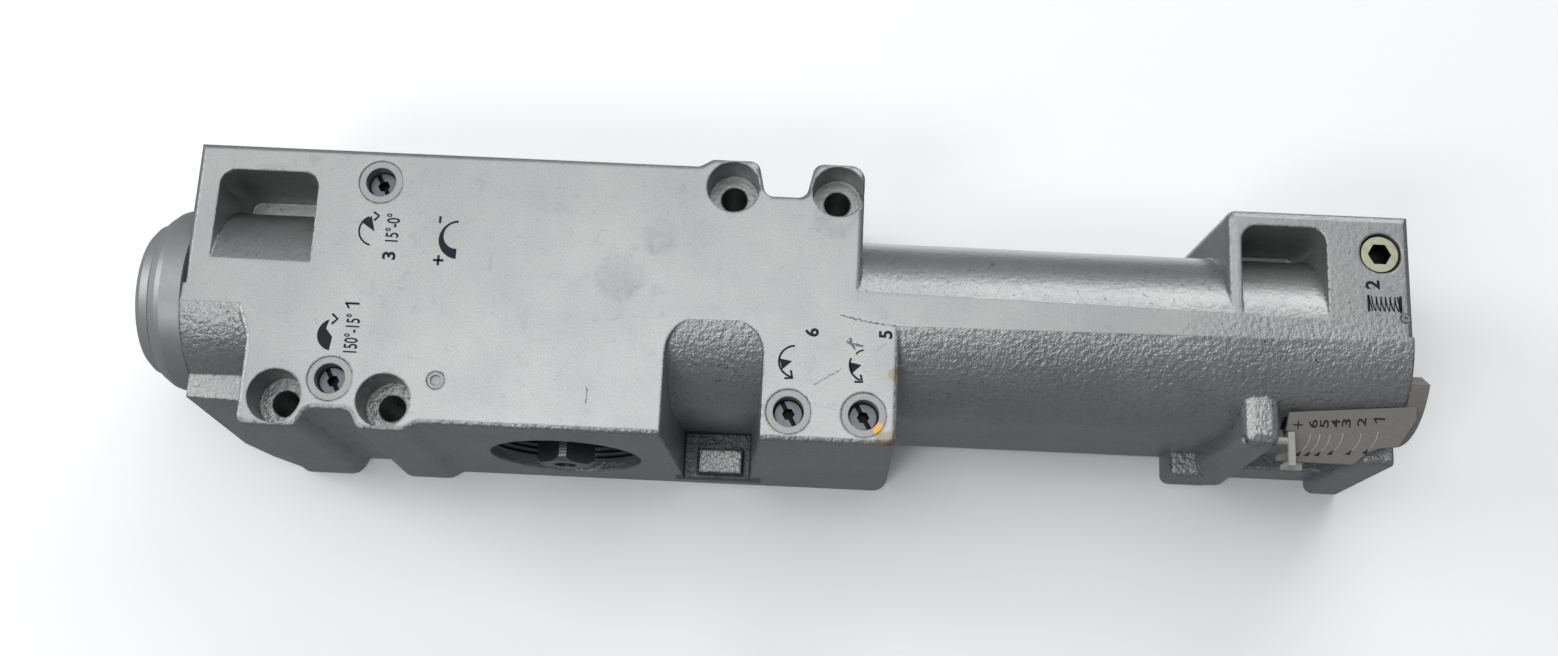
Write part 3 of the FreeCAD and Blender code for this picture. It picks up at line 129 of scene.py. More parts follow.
ENAMEL = colour("#9a9b9b")
ENAMEL_CLOUD = colour("#a8a9a8")
FLAKE_SHADE = colour("#6c6f72")
SMUDGE_GREY = colour("#6b6d70")
SMEAR_GREY = colour("#55575b")
PRIMER = colour("#8c8577")
SCRATCH_GREY = colour("#34363a")
RUBBED_METAL = colour("#3c3e41")
RUBBED_TURNED_METAL = colour("#45474a")
PARTING_GREY = colour("#55575a")
# Painted shade on the saddle's recess floor round its pad
PAINTED_RECESS_SHADE = colour("#3a3b3d")
BARE_BRASS = colour("#d8a54e")
# Painted shade deep in the key sockets
PAINTED_SOCKET_SHADE = colour("#1d1d1e")


def add(tree, kind, inputs, out=0, **settings):
    """Adds a node, sets its inputs to values or links them, and returns one of its outputs.

    A colour Mix takes its share at input 0 and its two colours at 6 and 7, and gives output 2.
    """
    node = tree.nodes.new("ShaderNode" + kind)
    for key, value in settings.items():
        setattr(node, key, value)
    for key, value in inputs.items():
        if isinstance(value, bpy.types.NodeSocket):
            tree.links.new(value, node.inputs[key])
        else:
            node.inputs[key].default_value = value
    return node.outputs[out]


def new_material(name, metallic, roughness):
    """Material with its shader, and its coordinates in millimetres."""
    material = bpy.data.materials.new(name)
    material.use_nodes = True
    tree = material.node_tree
    tree.nodes.clear()
    surface = add(tree, "BsdfPrincipled", {"Metallic": metallic, "Roughness": roughness})
    output = tree.nodes.new("ShaderNodeOutputMaterial")
    tree.links.new(surface, output.inputs[0])
    place = add(tree, "TexCoord", {}, out="Object")
    in_mm = add(tree, "VectorMath", {0: place, "Scale": 1.0 / MM}, operation="SCALE")
    return material, tree, surface.node, in_mm


def dress(tree, shader, base, normal):
    """Gives the shader its colour and its bumps."""
    tree.links.new(base, shader.inputs["Base Color"])
    tree.links.new(normal, shader.inputs["Normal"])


def patch(tree, place, x, z, radius):
    """1 inside a round patch with a soft rim on the front face."""
    gap = add(tree, "VectorMath", {0: place, 1: (x, FRONT, z)}, out="Value", operation="DISTANCE")
    return add(tree, "MapRange", {"Value": gap, "From Min": radius, "From Max": radius * 0.55},
               interpolation_type="SMOOTHSTEP")


def scratch(tree, place, start, end, half_width):
    """1 along a thin scratch between two (x, z) points on the front face."""
    run = Vector((end[0] - start[0], 0.0, end[1] - start[1]))
    from_start = add(tree, "VectorMath", {0: place, 1: (start[0], FRONT, start[1])}, operation="SUBTRACT")
    share = add(tree, "VectorMath", {0: from_start, 1: run / run.length_squared}, out="Value",
                operation="DOT_PRODUCT")
    share = add(tree, "Math", {0: share, 1: 0.0}, operation="ADD", use_clamp=True)
    nearest = add(tree, "VectorMath", {0: run, "Scale": share}, operation="SCALE")
    gap = add(tree, "VectorMath", {0: from_start, 1: nearest}, out="Value", operation="DISTANCE")
    return add(tree, "MapRange", {"Value": gap, "From Min": half_width, "From Max": half_width * 0.4},
               interpolation_type="SMOOTHSTEP")


def worn_edges(tree, place, radius):
    """Rounded normal, and a mask of the sharp edges where specks of the coat have gone."""
    soft = add(tree, "Bevel", {"Radius": radius * MM}, samples=6)
    flat = add(tree, "NewGeometry", {}, out="Normal")
    along = add(tree, "VectorMath", {0: soft, 1: flat}, out="Value", operation="DOT_PRODUCT")
    edge = add(tree, "MapRange", {"Value": along, "From Min": 0.995, "From Max": 0.93})
    specks = add(tree, "TexNoise", {"Vector": place, "Scale": EDGE_SPECKS, "Detail": 5.0, "Roughness": 0.7})
    chips = add(tree, "MapRange", {"Value": specks, "From Min": 0.5, "From Max": 0.6})
    return soft, add(tree, "Math", {0: edge, 1: chips}, operation="MULTIPLY")


def sprayed_coat(tree, place, grain, smudge):
    """The casting's enamel: slow clouds, the shade between its flakes, and grey smudges."""
    cloud = add(tree, "TexNoise", {"Vector": place, "Scale": CLOUDS, "Detail": 5.0, "Roughness": 0.6})
    tone = add(tree, "MapRange", {"Value": cloud, "From Min": 0.3, "From Max": 0.7})
    base = add(tree, "Mix", {0: tone, 6: ENAMEL, 7: ENAMEL_CLOUD}, out=2, data_type="RGBA")
    flake = add(tree, "MapRange", {"Value": grain, "From Min": 0.35, "From Max": 0.7, "To Max": 0.42})
    base = add(tree, "Mix", {0: flake, 6: base, 7: FLAKE_SHADE}, out=2, data_type="RGBA")
    handled = add(tree, "MapRange", {"Value": smudge, "From Min": 0.56, "From Max": 0.8, "To Max": 0.4})
    return add(tree, "Mix", {0: handled, 6: base, 7: SMUDGE_GREY}, out=2, data_type="RGBA")


def handling_marks(tree, place, smudge, base):
    """Chips down to the primer, grey smears and thin scratches on the front, all ragged."""
    ragged = add(tree, "TexNoise",
                 {"Vector": place, "Scale": RAGGED_RIMS, "Detail": 3.0, "Roughness": 0.6}, out="Color")
    shake = Vector((RIM_SHAKE, 0.0, RIM_SHAKE))
    shaken = add(tree, "VectorMath", {0: ragged, 1: shake, 2: place}, operation="MULTIPLY_ADD")
    shaken = add(tree, "VectorMath", {0: shaken, 1: shake / 2.0}, operation="SUBTRACT")
    for x, z, radius in CHIPS:
        chip = patch(tree, shaken, x, z, radius)
        base = add(tree, "Mix", {0: chip, 6: base, 7: PRIMER}, out=2, data_type="RGBA")
    for x, z, radius in SMEARS:
        smear = patch(tree, shaken, x, z, radius)
        smear = add(tree, "Math", {0: smear, 1: smudge}, operation="MULTIPLY")
        smear = add(tree, "MapRange", {"Value": smear, "From Min": 0.3, "From Max": 0.9, "To Max": 0.4})
        base = add(tree, "Mix", {0: smear, 6: base, 7: SMEAR_GREY}, out=2, data_type="RGBA")
    marked = 0.0
    for start, end, half_width in SCRATCHES:
        mark = scratch(tree, shaken, start, end, half_width)
        marked = add(tree, "Math", {0: marked, 1: mark}, operation="MAXIMUM")
    marked = add(tree, "Math", {0: marked, 1: 0.8}, operation="MULTIPLY")
    return add(tree, "Mix", {0: marked, 6: base, 7: SCRATCH_GREY}, out=2, data_type="RGBA")


def parting_line_and_painted_recess_shade(tree, x, y, z, base):
    """The faint parting line of the die, and painted shade on the recess floor round its pad."""
    below = add(tree, "Math", {0: z, 1: UNDERSIDE}, operation="LESS_THAN")
    on_line = add(tree, "Math", {0: y, 1: PARTING_Y, 2: PARTING_HALF}, operation="COMPARE")
    line_share = add(tree, "Math", {0: on_line, 1: below}, operation="MULTIPLY")
    line_share = add(tree, "Math", {0: line_share, 1: 0.5}, operation="MULTIPLY")
    base = add(tree, "Mix", {0: line_share, 6: base, 7: PARTING_GREY}, out=2, data_type="RGBA")
    # Painted shade: the recess floor round the pad is darkened
    deep = add(tree, "Math", {0: y, 1: RECESS_Y, 2: RECESS_HALF_DEPTH}, operation="COMPARE")
    beside = add(tree, "Math", {0: x, 1: RECESS_X, 2: RECESS_HALF_LENGTH}, operation="COMPARE")
    dark = add(tree, "Math", {0: deep, 1: beside}, operation="MULTIPLY")
    dark = add(tree, "Math", {0: dark, 1: below}, operation="MULTIPLY")
    dark = add(tree, "Math", {0: dark, 1: 0.8}, operation="MULTIPLY")
    return add(tree, "Mix", {0: dark, 6: base, 7: PAINTED_RECESS_SHADE}, out=2, data_type="RGBA")


def cast_skin(tree, x, y, z):
    """Masks of the skin that was never milled, and of where its lumps stand out."""
    milled = add(tree, "Math", {0: y, 1: FRONT + 0.02}, operation="LESS_THAN")
    before_end = add(tree, "MapRange", {"Value": x, "From Min": MILLED_ENDS, "From Max": MILLED_FULL},
                     interpolation_type="SMOOTHSTEP")
    milled = add(tree, "Math", {0: milled, 1: before_end}, operation="MULTIPLY")
    door_face = add(tree, "Math", {0: y, 1: -0.05}, operation="GREATER_THAN")
    milled = add(tree, "Math", {0: milled, 1: door_face}, operation="MAXIMUM")
    cast = add(tree, "Math", {0: 1.0, 1: milled}, operation="SUBTRACT")
    calmer = add(tree, "MapRange",
                 {"Value": z, "From Min": ROUGH_BELOW, "From Max": CALM_ABOVE, "To Max": 0.75})
    rough = add(tree, "Math", {0: 1.0, 1: calmer}, operation="SUBTRACT")
    return cast, add(tree, "Math", {0: cast, 1: rough}, operation="MULTIPLY")


# Aluminium-flake enamel sprayed over a die casting. The flake gives a broad soft sheen and a fine
# dark and light grain of 0.4 mm; the milled front is flat under it, while the cast skin beside it
# shows an orange peel of lumps 1 to 2 mm across. Sharp edges are rubbed dark, handling has left
# grey smudges and scratches, and chips along the block's right edge show the beige primer.
def silver_enamel_on_casting():
    material, tree, shader, place = new_material("silver_enamel_on_casting", metallic=0.75, roughness=0.37)
    x, y, z = add(tree, "SeparateXYZ", {0: place}).node.outputs
    grain = add(tree, "TexNoise", {"Vector": place, "Scale": FLAKES, "Detail": 4.0, "Roughness": 0.65})
    smudge = add(tree, "TexNoise", {"Vector": place, "Scale": SMUDGES, "Detail": 6.0, "Roughness": 0.65,
                                    "Distortion": 0.6})
    base = sprayed_coat(tree, place, grain, smudge)
    base = handling_marks(tree, place, smudge, base)
    soft, worn = worn_edges(tree, place, 0.9)
    worn = add(tree, "Math", {0: worn, 1: 0.95}, operation="MULTIPLY")
    base = add(tree, "Mix", {0: worn, 6: base, 7: RUBBED_METAL}, out=2, data_type="RGBA")
    # Parting line, and painted shade in the saddle's recess
    base = parting_line_and_painted_recess_shade(tree, x, y, z, base)

    cast, lumpy = cast_skin(tree, x, y, z)
    spots = add(tree, "TexNoise", {"Vector": place, "Scale": DARK_SPOTS, "Detail": 4.0, "Roughness": 0.75,
                                   "Distortion": 1.0})
    spots = add(tree, "MapRange", {"Value": spots, "From Min": 0.63, "From Max": 0.66, "To Max": 0.75})
    spots = add(tree, "Math", {0: spots, 1: cast}, operation="MULTIPLY")
    base = add(tree, "Mix", {0: spots, 6: base, 7: RUBBED_METAL}, out=2, data_type="RGBA")
    lumps = add(tree, "TexNoise", {"Vector": place, "Scale": CAST_LUMPS, "Detail": 2.0, "Roughness": 0.5})
    pits = add(tree, "TexNoise", {"Vector": place, "Scale": CAST_PITS, "Detail": 2.0, "Roughness": 0.5})
    skin = add(tree, "Math", {0: pits, 1: 0.35, 2: lumps}, operation="MULTIPLY_ADD")
    skin = add(tree, "Math", {0: skin, 1: lumpy}, operation="MULTIPLY")
    normal = add(tree, "Bump", {"Height": grain, "Distance": 0.012 * MM, "Strength": 0.8, "Normal": soft})
    normal = add(tree, "Bump", {"Height": skin, "Distance": 0.36 * MM, "Strength": 1.0, "Normal": normal})
    dress(tree, shader, base, normal)
    return material


# The same enamel on turned parts: smoother, with only the flake's grain and rings about 1 mm
# apart, drawn coarser than the tool's feed so that they show. worn_at gives a round place on the
# front where the coat has gone from the brass below.
def silver_enamel_on_turned_part(name, worn_at=None):
    material, tree, shader, place = new_material(name, metallic=0.6, roughness=0.47)
    grain = add(tree, "TexNoise", {"Vector": place, "Scale": FLAKES, "Detail": 4.0, "Roughness": 0.65})
    flake = add(tree, "MapRange", {"Value": grain, "From Min": 0.35, "From Max": 0.7, "To Max": 0.3})
    base = add(tree, "Mix", {0: flake, 6: ENAMEL, 7: FLAKE_SHADE}, out=2, data_type="RGBA")
    soft, worn = worn_edges(tree, place, 0.35)
    worn = add(tree, "Math", {0: worn, 1: 0.7}, operation="MULTIPLY")
    base = add(tree, "Mix", {0: worn, 6: base, 7: RUBBED_TURNED_METAL}, out=2, data_type="RGBA")
    if worn_at:
        bare = patch(tree, place, *worn_at)
        base = add(tree, "Mix", {0: bare, 6: base, 7: BARE_BRASS}, out=2, data_type="RGBA")
    rings = add(tree, "TexWave", {"Vector": place, "Scale": 0.32, "Distortion": 0.3}, out="Fac",
                bands_direction="X")
    normal = add(tree, "Bump", {"Height": rings, "Distance": 0.006 * MM, "Strength": 0.6, "Normal": soft})
    normal = add(tree, "Bump", {"Height": grain, "Distance": 0.01 * MM, "Strength": 0.7, "Normal": normal})
    dress(tree, shader, base, normal)
    return material


# Bare metal, turned or ground: tool marks run round the axis, drawn at twice the feed so that
# they show, and oil has left darker clouds. Deeper than the given depth the key sockets are
# painted nearly black as shade.
def cut_metal(name, code, roughness, axis, feed, socket_shade_from_y=None):
    material, tree, shader, place = new_material(name, metallic=1.0, roughness=roughness)
    stain = add(tree, "TexNoise", {"Vector": place, "Scale": OIL_STAINS, "Detail": 5.0, "Roughness": 0.6})
    oiled = add(tree, "MapRange", {"Value": stain, "From Min": 0.45, "From Max": 0.75, "To Max": 0.55})
    base = add(tree, "Mix", {0: oiled, 6: colour(code), 7: darker(code, 0.55)}, out=2, data_type="RGBA")
    # Painted shade: deeper than the given depth the socket goes nearly black
    if socket_shade_from_y is not None:
        depth = add(tree, "SeparateXYZ", {0: place}, out=1)
        sunk = add(tree, "MapRange", {"Value": depth, "From Min": socket_shade_from_y, "From Max": socket_shade_from_y + 0.5})
        base = add(tree, "Mix", {0: sunk, 6: base, 7: PAINTED_SOCKET_SHADE}, out=2, data_type="RGBA")
    soft = add(tree, "Bevel", {"Radius": 0.15 * MM}, samples=4)
    marks = add(tree, "TexWave", {"Vector": place, "Scale": WAVE_BAND / (2.0 * feed), "Distortion": 0.4},
                out="Fac", bands_direction=axis)
    normal = add(tree, "Bump", {"Height": marks, "Distance": 0.012 * MM, "Strength": 0.7, "Normal": soft})
    dress(tree, shader, base, normal)
    return material


# Moulded or printed surface: one colour with a faint darker speckle, and a fine grain of the
# given depth that keeps its shine from looking like glass.
def moulded(name, code, roughness, specks, depth):
    material, tree, shader, place = new_material(name, metallic=0.0, roughness=roughness)
    speck = add(tree, "TexNoise", {"Vector": place, "Scale": specks, "Detail": 4.0, "Roughness": 0.6})
    share = add(tree, "MapRange", {"Value": speck, "From Min": 0.35, "From Max": 0.7})
    base = add(tree, "Mix", {0: share, 6: colour(code), 7: darker(code, 0.84)}, out=2, data_type="RGBA")
    normal = add(tree, "Bump", {"Height": speck, "Distance": depth * MM, "Strength": 0.7})
    dress(tree, shader, base, normal)
    return material


# Painted: the casting has the full coat, the left cap and the valve rings a smoother one, and the
# ring of valve 5 shows a spot of brass
cast_paint = silver_enamel_on_casting()
turned_paint = silver_enamel_on_turned_part("silver_enamel_on_turned_cap")
worn_ring_paint = silver_enamel_on_turned_part("silver_enamel_on_worn_brass_ring", WORN_RING_SPOT)

# Steels: ground ones are the brightest and sharpest, oil has blackened the turned glands, and
# the springs keep the dull skin of drawn wire
ground_steel = cut_metal("ground_steel", "#8e8f8f", 0.3, "Z", 0.4)
turned_steel = cut_metal("oil_blackened_turned_steel", "#55585b", 0.4, "Z", 0.6)
spring_steel = cut_metal("oiled_drawn_spring_steel", "#5b5a58", 0.35, "X", 0.5)

# Tapped thread: bare aluminium, a little darker and shinier than the coat round it
thread_metal = cut_metal("tapped_casting_thread", "#6b6d70", 0.35, "Z", 0.5)

# Yellow passivated zinc has a pale green-gold tint; nickel on the valve screws is a darker grey.
# Both have a key socket painted black below its mouth as shade
zinc = cut_metal("yellow_zinc_plated_steel", "#b4b69c", 0.36, "Y", 0.5, FRONT + 1.2)
valve_steel = cut_metal("nickel_plated_turned_steel", "#66696c", 0.42, "Y", 0.4, FRONT + 3.7)

# Inside: warm brass of the worm wheel, and iron that is dull because its graphite breaks the shine
brass = cut_metal("turned_brass", "#b9924c", 0.3, "X", 0.4)
iron = cut_metal("machined_grey_iron", "#6a6a69", 0.5, "X", 0.8)

# Seals: nearly black, with a soft low shine
rubber = moulded("moulded_nitrile_rubber", "#141414", 0.6, 2.0, 0.01)

# Acetal of the scale plate and the lighter pointer: a waxy half-shine, paler where ribs are rubbed
plate_plastic = moulded("moulded_grey_acetal", "#7d7a75", 0.5, 1.6, 0.012)
pointer_plastic = moulded("moulded_light_grey_acetal", "#9b9b98", 0.45, 1.6, 0.012)
plate_edge = moulded("light_rubbed_acetal_rib", "#a9a8a4", 0.45, 1.6, 0.006)

# Prints: matt ink on the enamel, and stamped foil on the plate, both without a shine of their own
ink = moulded("blue_black_pad_print", "#131722", 0.85, 1.2, 0.006)
plate_ink = moulded("dark_grey_hot_stamp", "#252528", 0.85, 1.2, 0.006)

# Every node that isn't named here is a rubber seal
FINISHES = {
    cast_paint: ["body_casting"],
    turned_paint: ["left_end_cap", "gallery_plug", "valve_ring_1", "valve_ring_3", "valve_ring_6"],
    worn_ring_paint: ["valve_ring_5"],
    turned_steel: ["right_end_cap", "upper_gland_nut", "lower_gland_nut"],
    ground_steel: ["spindle", "piston", "check_ball", "lead_screw", "lock_pin",
                   "upper_spindle_bearing", "lower_spindle_bearing"],
    spring_steel: ["outer_spring", "inner_spring", "worm_circlip"],
    iron: ["spring_seat"],
    zinc: ["adjuster_worm"],
    brass: ["worm_wheel", "check_retainer"],
    valve_steel: ["valve_screw_1", "valve_screw_3", "valve_screw_5", "valve_screw_6"],
    plate_plastic: ["scale_plate"],
    pointer_plastic: ["pointer"],
}
finish_of = {node: material for material, nodes in FINISHES.items() for node in nodes}
for node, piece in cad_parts.items():
    piece.data.materials.clear()
    piece.data.materials.append(finish_of.get(node, rubber))

# The two springs ride on their seat and shorten toward it as the piston comes; here each only gets a mesh
# of its own
for node in ("outer_spring", "inner_spring"):
    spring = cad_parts[node]
    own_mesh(spring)


def finish(shape, name, material):
    """Turns a shape in millimetres into a piece that rides on the body."""
    bmesh.ops.scale(shape, vec=(MM, MM, MM), verts=shape.verts[:])
    data = bpy.data.meshes.new(name)
    shape.to_mesh(data)
    shape.free()
    data.materials.append(material)
    piece = bpy.data.objects.new(name, data)
    bpy.context.scene.collection.objects.link(piece)
    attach(piece, "body")
    return piece


def on_front(x, z):
    """A print's y on the flat front face."""
    return FRONT - PRINT_LIFT


def on_plate(x, z):
    """A print's y on the leaning, slightly bowed scale plate."""
    share = (PLATE_TOP - z) / PLATE_HEIGHT
    bow = 4.0 * PLATE_BOW * share * (1.0 - share)
    return FRONT + PLATE_SET_BACK + PLATE_LEAN * share - bow - PRINT_LIFT


def lay_print(shape, name, material, surface):
    """Lays a flat drawing on its surface, facing the front."""
    for corner in shape.verts:
        corner.co.y = surface(corner.co.x, corner.co.z)
    shape.normal_update()
    bmesh.ops.triangulate(shape, faces=shape.faces[:])
    shape.normal_update()
    bmesh.ops.reverse_faces(shape, faces=[face for face in shape.faces if face.normal.y > 0])
    return finish(shape, name, material)


def arc(first, middle, last, steps=14):
    """Points of the arc from first through middle to last, all (x, z)."""
    a, b, c = (Vector(p) for p in (first, middle, last))
    ab, ac = b - a, c - a
    cross = 2.0 * (ab.x * ac.y - ab.y * ac.x)
    centre = a + Vector((ac.y * ab.length_squared - ab.y * ac.length_squared,
                         ab.x * ac.length_squared - ac.x * ab.length_squared)) / cross
    start = math.atan2(a.y - centre.y, a.x - centre.x)
    sweep = (math.atan2(c.y - centre.y, c.x - centre.x) - start) % math.tau
    if cross < 0:
        sweep -= math.tau
    radius = (a - centre).length
    angles = [start + sweep * step / steps for step in range(steps + 1)]
    return [(centre.x + radius * math.cos(angle), centre.y + radius * math.sin(angle)) for angle in angles]


def line(points, width, end_width=None):
    """Outline of a drawn line; it may run to another width at its end."""
    left, right = [], []
    last = len(points) - 1
    for index, (x, z) in enumerate(points):
        before, after = points[max(index - 1, 0)], points[min(index + 1, last)]
        across = Vector((before[1] - after[1], after[0] - before[0])).normalized()
        across *= (width + ((end_width or width) - width) * index / last) / 2.0
        left.append((x + across.x, z + across.y))
        right.append((x - across.x, z - across.y))
    return left + right[::-1]


def drawing(name, outlines, material=ink, surface=on_front, slot="silver_casting"):
    """A print made of closed outlines of (x, z) points."""
    shape = bmesh.new()
    for outline in outlines:
        shape.faces.new([shape.verts.new((x, 0.0, z)) for x, z in outline])
    return lay_print(shape, name, material, surface)


def lettering(name, text, top, base, low, high, bold,
              material=ink, surface=on_front, slot="silver_casting"):
    """Text that reads upwards, between top and base in x and between low and high in z."""
    curve = bpy.data.curves.new(name + "_text", "FONT")
    curve.body = text
    curve.offset = bold
    writer = bpy.data.objects.new(name + "_text", curve)
    bpy.context.scene.collection.objects.link(writer)
    bpy.context.view_layer.update()
    drawn = writer.evaluated_get(bpy.context.evaluated_depsgraph_get()).to_mesh()
    shape = bmesh.new()
    shape.from_mesh(drawn)
    bpy.data.objects.remove(writer)
    bpy.data.curves.remove(curve)
    left, right = min(v.co.x for v in shape.verts), max(v.co.x for v in shape.verts)
    bottom, upper = min(v.co.y for v in shape.verts), max(v.co.y for v in shape.verts)
    tall = (top - base) / (upper - bottom)
    wide = (high - low) / (right - left)
    fit = Matrix((
        (0, tall, 0, base - bottom * tall),
        (0, 0, 1, 0),
        (wide, 0, 0, low - left * wide),
        (0, 0, 0, 1),
    ))
    bmesh.ops.transform(shape, matrix=fit, verts=shape.verts[:])
    return lay_print(shape, name, material, surface)


def number_one(name, top, base, low, high, width, **print_kind):
    """A plain 1 that reads upwards: a stem and a short flag at its top."""
    stem = high - width / 2.0
    flag_foot = top + (base - top) * 0.3
    return drawing(name, [line([(base, stem), (top, stem)], width),
                          line([(top + width / 2.0, stem), (flag_foot, low)], width * 0.9)],
                   **print_kind)


# Pad prints beside the valves, read with the spring tube up. Text is thickened by a share of the
# font's size: the small ranges a little, single digits more
RANGE_BOLD = 0.016
DIGIT_BOLD = 0.03
SIGN_STROKE = 0.6
drawing("print_valve_3_arrow", [
    line(arc((-47.7, 9.6), (-50.7, 13.0), (-48.6, 16.8)), 0.45),
    [(-50.2, 15.3), (-48.0, 17.1), (-46.9, 13.1), (-48.6, 14.2)],
    line([(-47.6, 18.1), (-46.2, 17.2), (-47.3, 15.9)], SIGN_STROKE),
])
lettering("print_valve_3_range", "15°-0°", -44.3, -40.9, 10.7, 17.9, RANGE_BOLD)
lettering("print_valve_3_number", "3", -44.4, -41.1, 6.1, 8.1, DIGIT_BOLD)
drawing("print_force_crescent", [
    arc((-26.6, 16.9), (-31.0, 12.4), (-26.4, 7.0), 22)
    + arc((-26.4, 9.6), (-29.9, 13.1), (-26.5, 16.3), 18),
    line([(-31.1, 17.8), (-31.1, 16.0)], SIGN_STROKE),
    line([(-31.9, 6.5), (-29.3, 6.5)], SIGN_STROKE),
    line([(-30.6, 7.8), (-30.6, 5.2)], SIGN_STROKE),
])
drawing("print_valve_1_wedge", [
    arc((-55.3, -9.6), (-57.9, -13.5), (-54.6, -17.3), 18) + [(-54.2, -13.9), (-55.9, -11.9)],
    line([(-54.8, -8.2), (-53.4, -9.4), (-54.7, -10.7)], SIGN_STROKE),
])
lettering("print_valve_1_range", "150°-15°", -51.4, -47.9, -17.6, -8.0, RANGE_BOLD)
number_one("print_valve_1_number", -52.0, -48.5, -6.6, -5.1, 0.55)
lettering("print_valve_6_number", "6", 59.6, 63.0, -8.4, -6.3, DIGIT_BOLD)
drawing("print_valve_6_arrow", [
    line(arc((57.4, -10.9), (53.7, -14.4), (56.9, -18.6)), 0.5),
    [(53.8, -14.2), (56.9, -14.7), (54.5, -16.9)],
    line([(56.6, -17.0), (57.1, -18.9), (55.2, -19.0)], SIGN_STROKE),
])
drawing("print_valve_5_arrow", [
    line(arc((74.0, -11.2), (73.0, -11.5), (72.1, -12.3), 4), 0.4),
    line(arc((71.0, -13.3), (70.8, -15.8), (73.5, -18.7)), 0.5),
    [(70.6, -14.3), (73.6, -14.9), (71.2, -17.2)],
    line([(73.4, -17.3), (73.9, -19.1), (72.0, -19.1)], SIGN_STROKE),
])
lettering("print_valve_5_number", "5", 77.5, 80.8, -8.1, -6.1, DIGIT_BOLD)
lettering("print_spring_number", "2", 195.6, 199.1, 9.9, 12.2, DIGIT_BOLD)

# Spring sign: six coils between two end bars, each coil a curved front wire and a thin back wire
COILS = 6
COIL_PITCH = 1.12
FIRST_COIL = 197.5
BARS = (196.2, 204.0)
spring_sign = []
for turn in range(COILS):
    middle = FIRST_COIL + COIL_PITCH * turn
    spring_sign.append(line(arc((middle - 0.5, 8.1), (middle - 0.28, 6.1), (middle + 0.36, 4.4), 6), 0.36))
    spring_sign.append(line([(middle + 0.36, 4.4), (middle + 0.62, 8.1)], 0.24))
for bar in BARS:
    spring_sign.append(line([(bar, 8.4), (bar, 4.2)], 0.62))
spring_sign.append(line([(BARS[0], 8.2), (BARS[0] + 0.9, 4.4)], 0.34))
spring_sign.append(line([(BARS[1] - 0.8, 8.2), (BARS[1], 4.5)], 0.34))
drawing("print_spring_sign", spring_sign)

# Scale plate: spring sizes with a curved rib and a small dark wedge for each
PLATE_PRINT = {"material": plate_ink, "surface": on_plate, "slot": "grey_plastic"}
PLATE_RIB = {"material": plate_edge, "surface": on_plate, "slot": "grey_plastic"}
PLATE_BOLD = 0.015
DIGIT_HALF_HEIGHT = 1.1
DIGIT_HALF_WIDTH = 0.95
SPRING_SIZES = (("6", 184.3, -22.5), ("5", 187.0, -22.4), ("4", 189.7, -22.2), ("3", 192.3, -22.0),
                ("2", 196.0, -21.6))
RIB_TOPS = ((183.9, -24.9), (186.2, -24.8), (188.7, -24.7), (191.8, -24.3), (196.2, -24.1),
            (200.2, -23.7))
drawing("plate_mark_plus",
        [line([(179.5, -22.9), (181.9, -22.9)], 0.34), line([(180.7, -23.8), (180.7, -22.0)], 0.34)],
        **PLATE_PRINT)
for text, x, z in SPRING_SIZES:
    lettering("plate_mark_" + text, text, x - DIGIT_HALF_HEIGHT, x + DIGIT_HALF_HEIGHT,
              z - DIGIT_HALF_WIDTH, z + DIGIT_HALF_WIDTH, PLATE_BOLD, **PLATE_PRINT)
number_one("plate_mark_1", 198.8, 201.6, -21.7, -20.5, 0.42, **PLATE_PRINT)
ribs, wedges = [], []
for x, z in RIB_TOPS:
    ribs.append(line(arc((x, z), (x - 0.35, z - 1.9), (x - 1.7, z - 4.0), 8), 0.3, 0.16))
    wedges.append([(x - 3.5, z - 5.0), (x - 1.8, z - 3.9), (x - 2.2, z - 5.1)])
drawing("plate_ribs", ribs, **PLATE_RIB)
# The wedges are small dark triangles drawn flat in the stamp's colour at each rib's foot
drawing("plate_wedges", wedges, **PLATE_PRINT)


def put_in_order(elements, place_of):
    """Sorts corners or faces by their places, because a spin gives them in another order each run."""
    places = {element: [round(part, 3) for part in place_of(element)] for element in elements}
    rank = {element: index for index, element in enumerate(sorted(elements, key=places.get))}
    elements.sort(key=rank.get)


def port_thread(name, sign):
    """Thread cut in a spindle port outside its gland: sign is 1 for the upper port, -1 for the lower."""
    outer = PORT_RADIUS - THREAD_CLEARANCE
    inner = outer - THREAD_DEPTH
    start = GLAND_FACE + 0.5
    shape = bmesh.new()
    heights = [(outer, start)]
    for turn in range(THREAD_TURNS):
        low = start + THREAD_PITCH * turn
        heights.append((inner, low + THREAD_PITCH * 0.45))
        heights.append((inner, low + THREAD_PITCH * 0.55))
        heights.append((outer, low + THREAD_PITCH))
    corners = [shape.verts.new((radius, SPINDLE_Y, sign * up)) for radius, up in heights]
    edges = [shape.edges.new(pair) for pair in zip(corners, corners[1:])]
    bmesh.ops.spin(shape, geom=corners + edges, cent=(0, SPINDLE_Y, 0), axis=(0, 0, 1),
                   angle=math.tau, steps=96, use_merge=True)
    shape.normal_update()
    for face in shape.faces:
        out = face.calc_center_median() - Vector((0, SPINDLE_Y, 0))
        if face.normal.x * out.x + face.normal.y * out.y > 0:
            face.normal_flip()
    put_in_order(shape.verts, lambda corner: corner.co)
    put_in_order(shape.faces, lambda face: face.calc_center_median())
    return finish(shape, name, thread_metal)


port_thread("upper_port_thread", 1.0)
port_thread("lower_port_thread", -1.0)


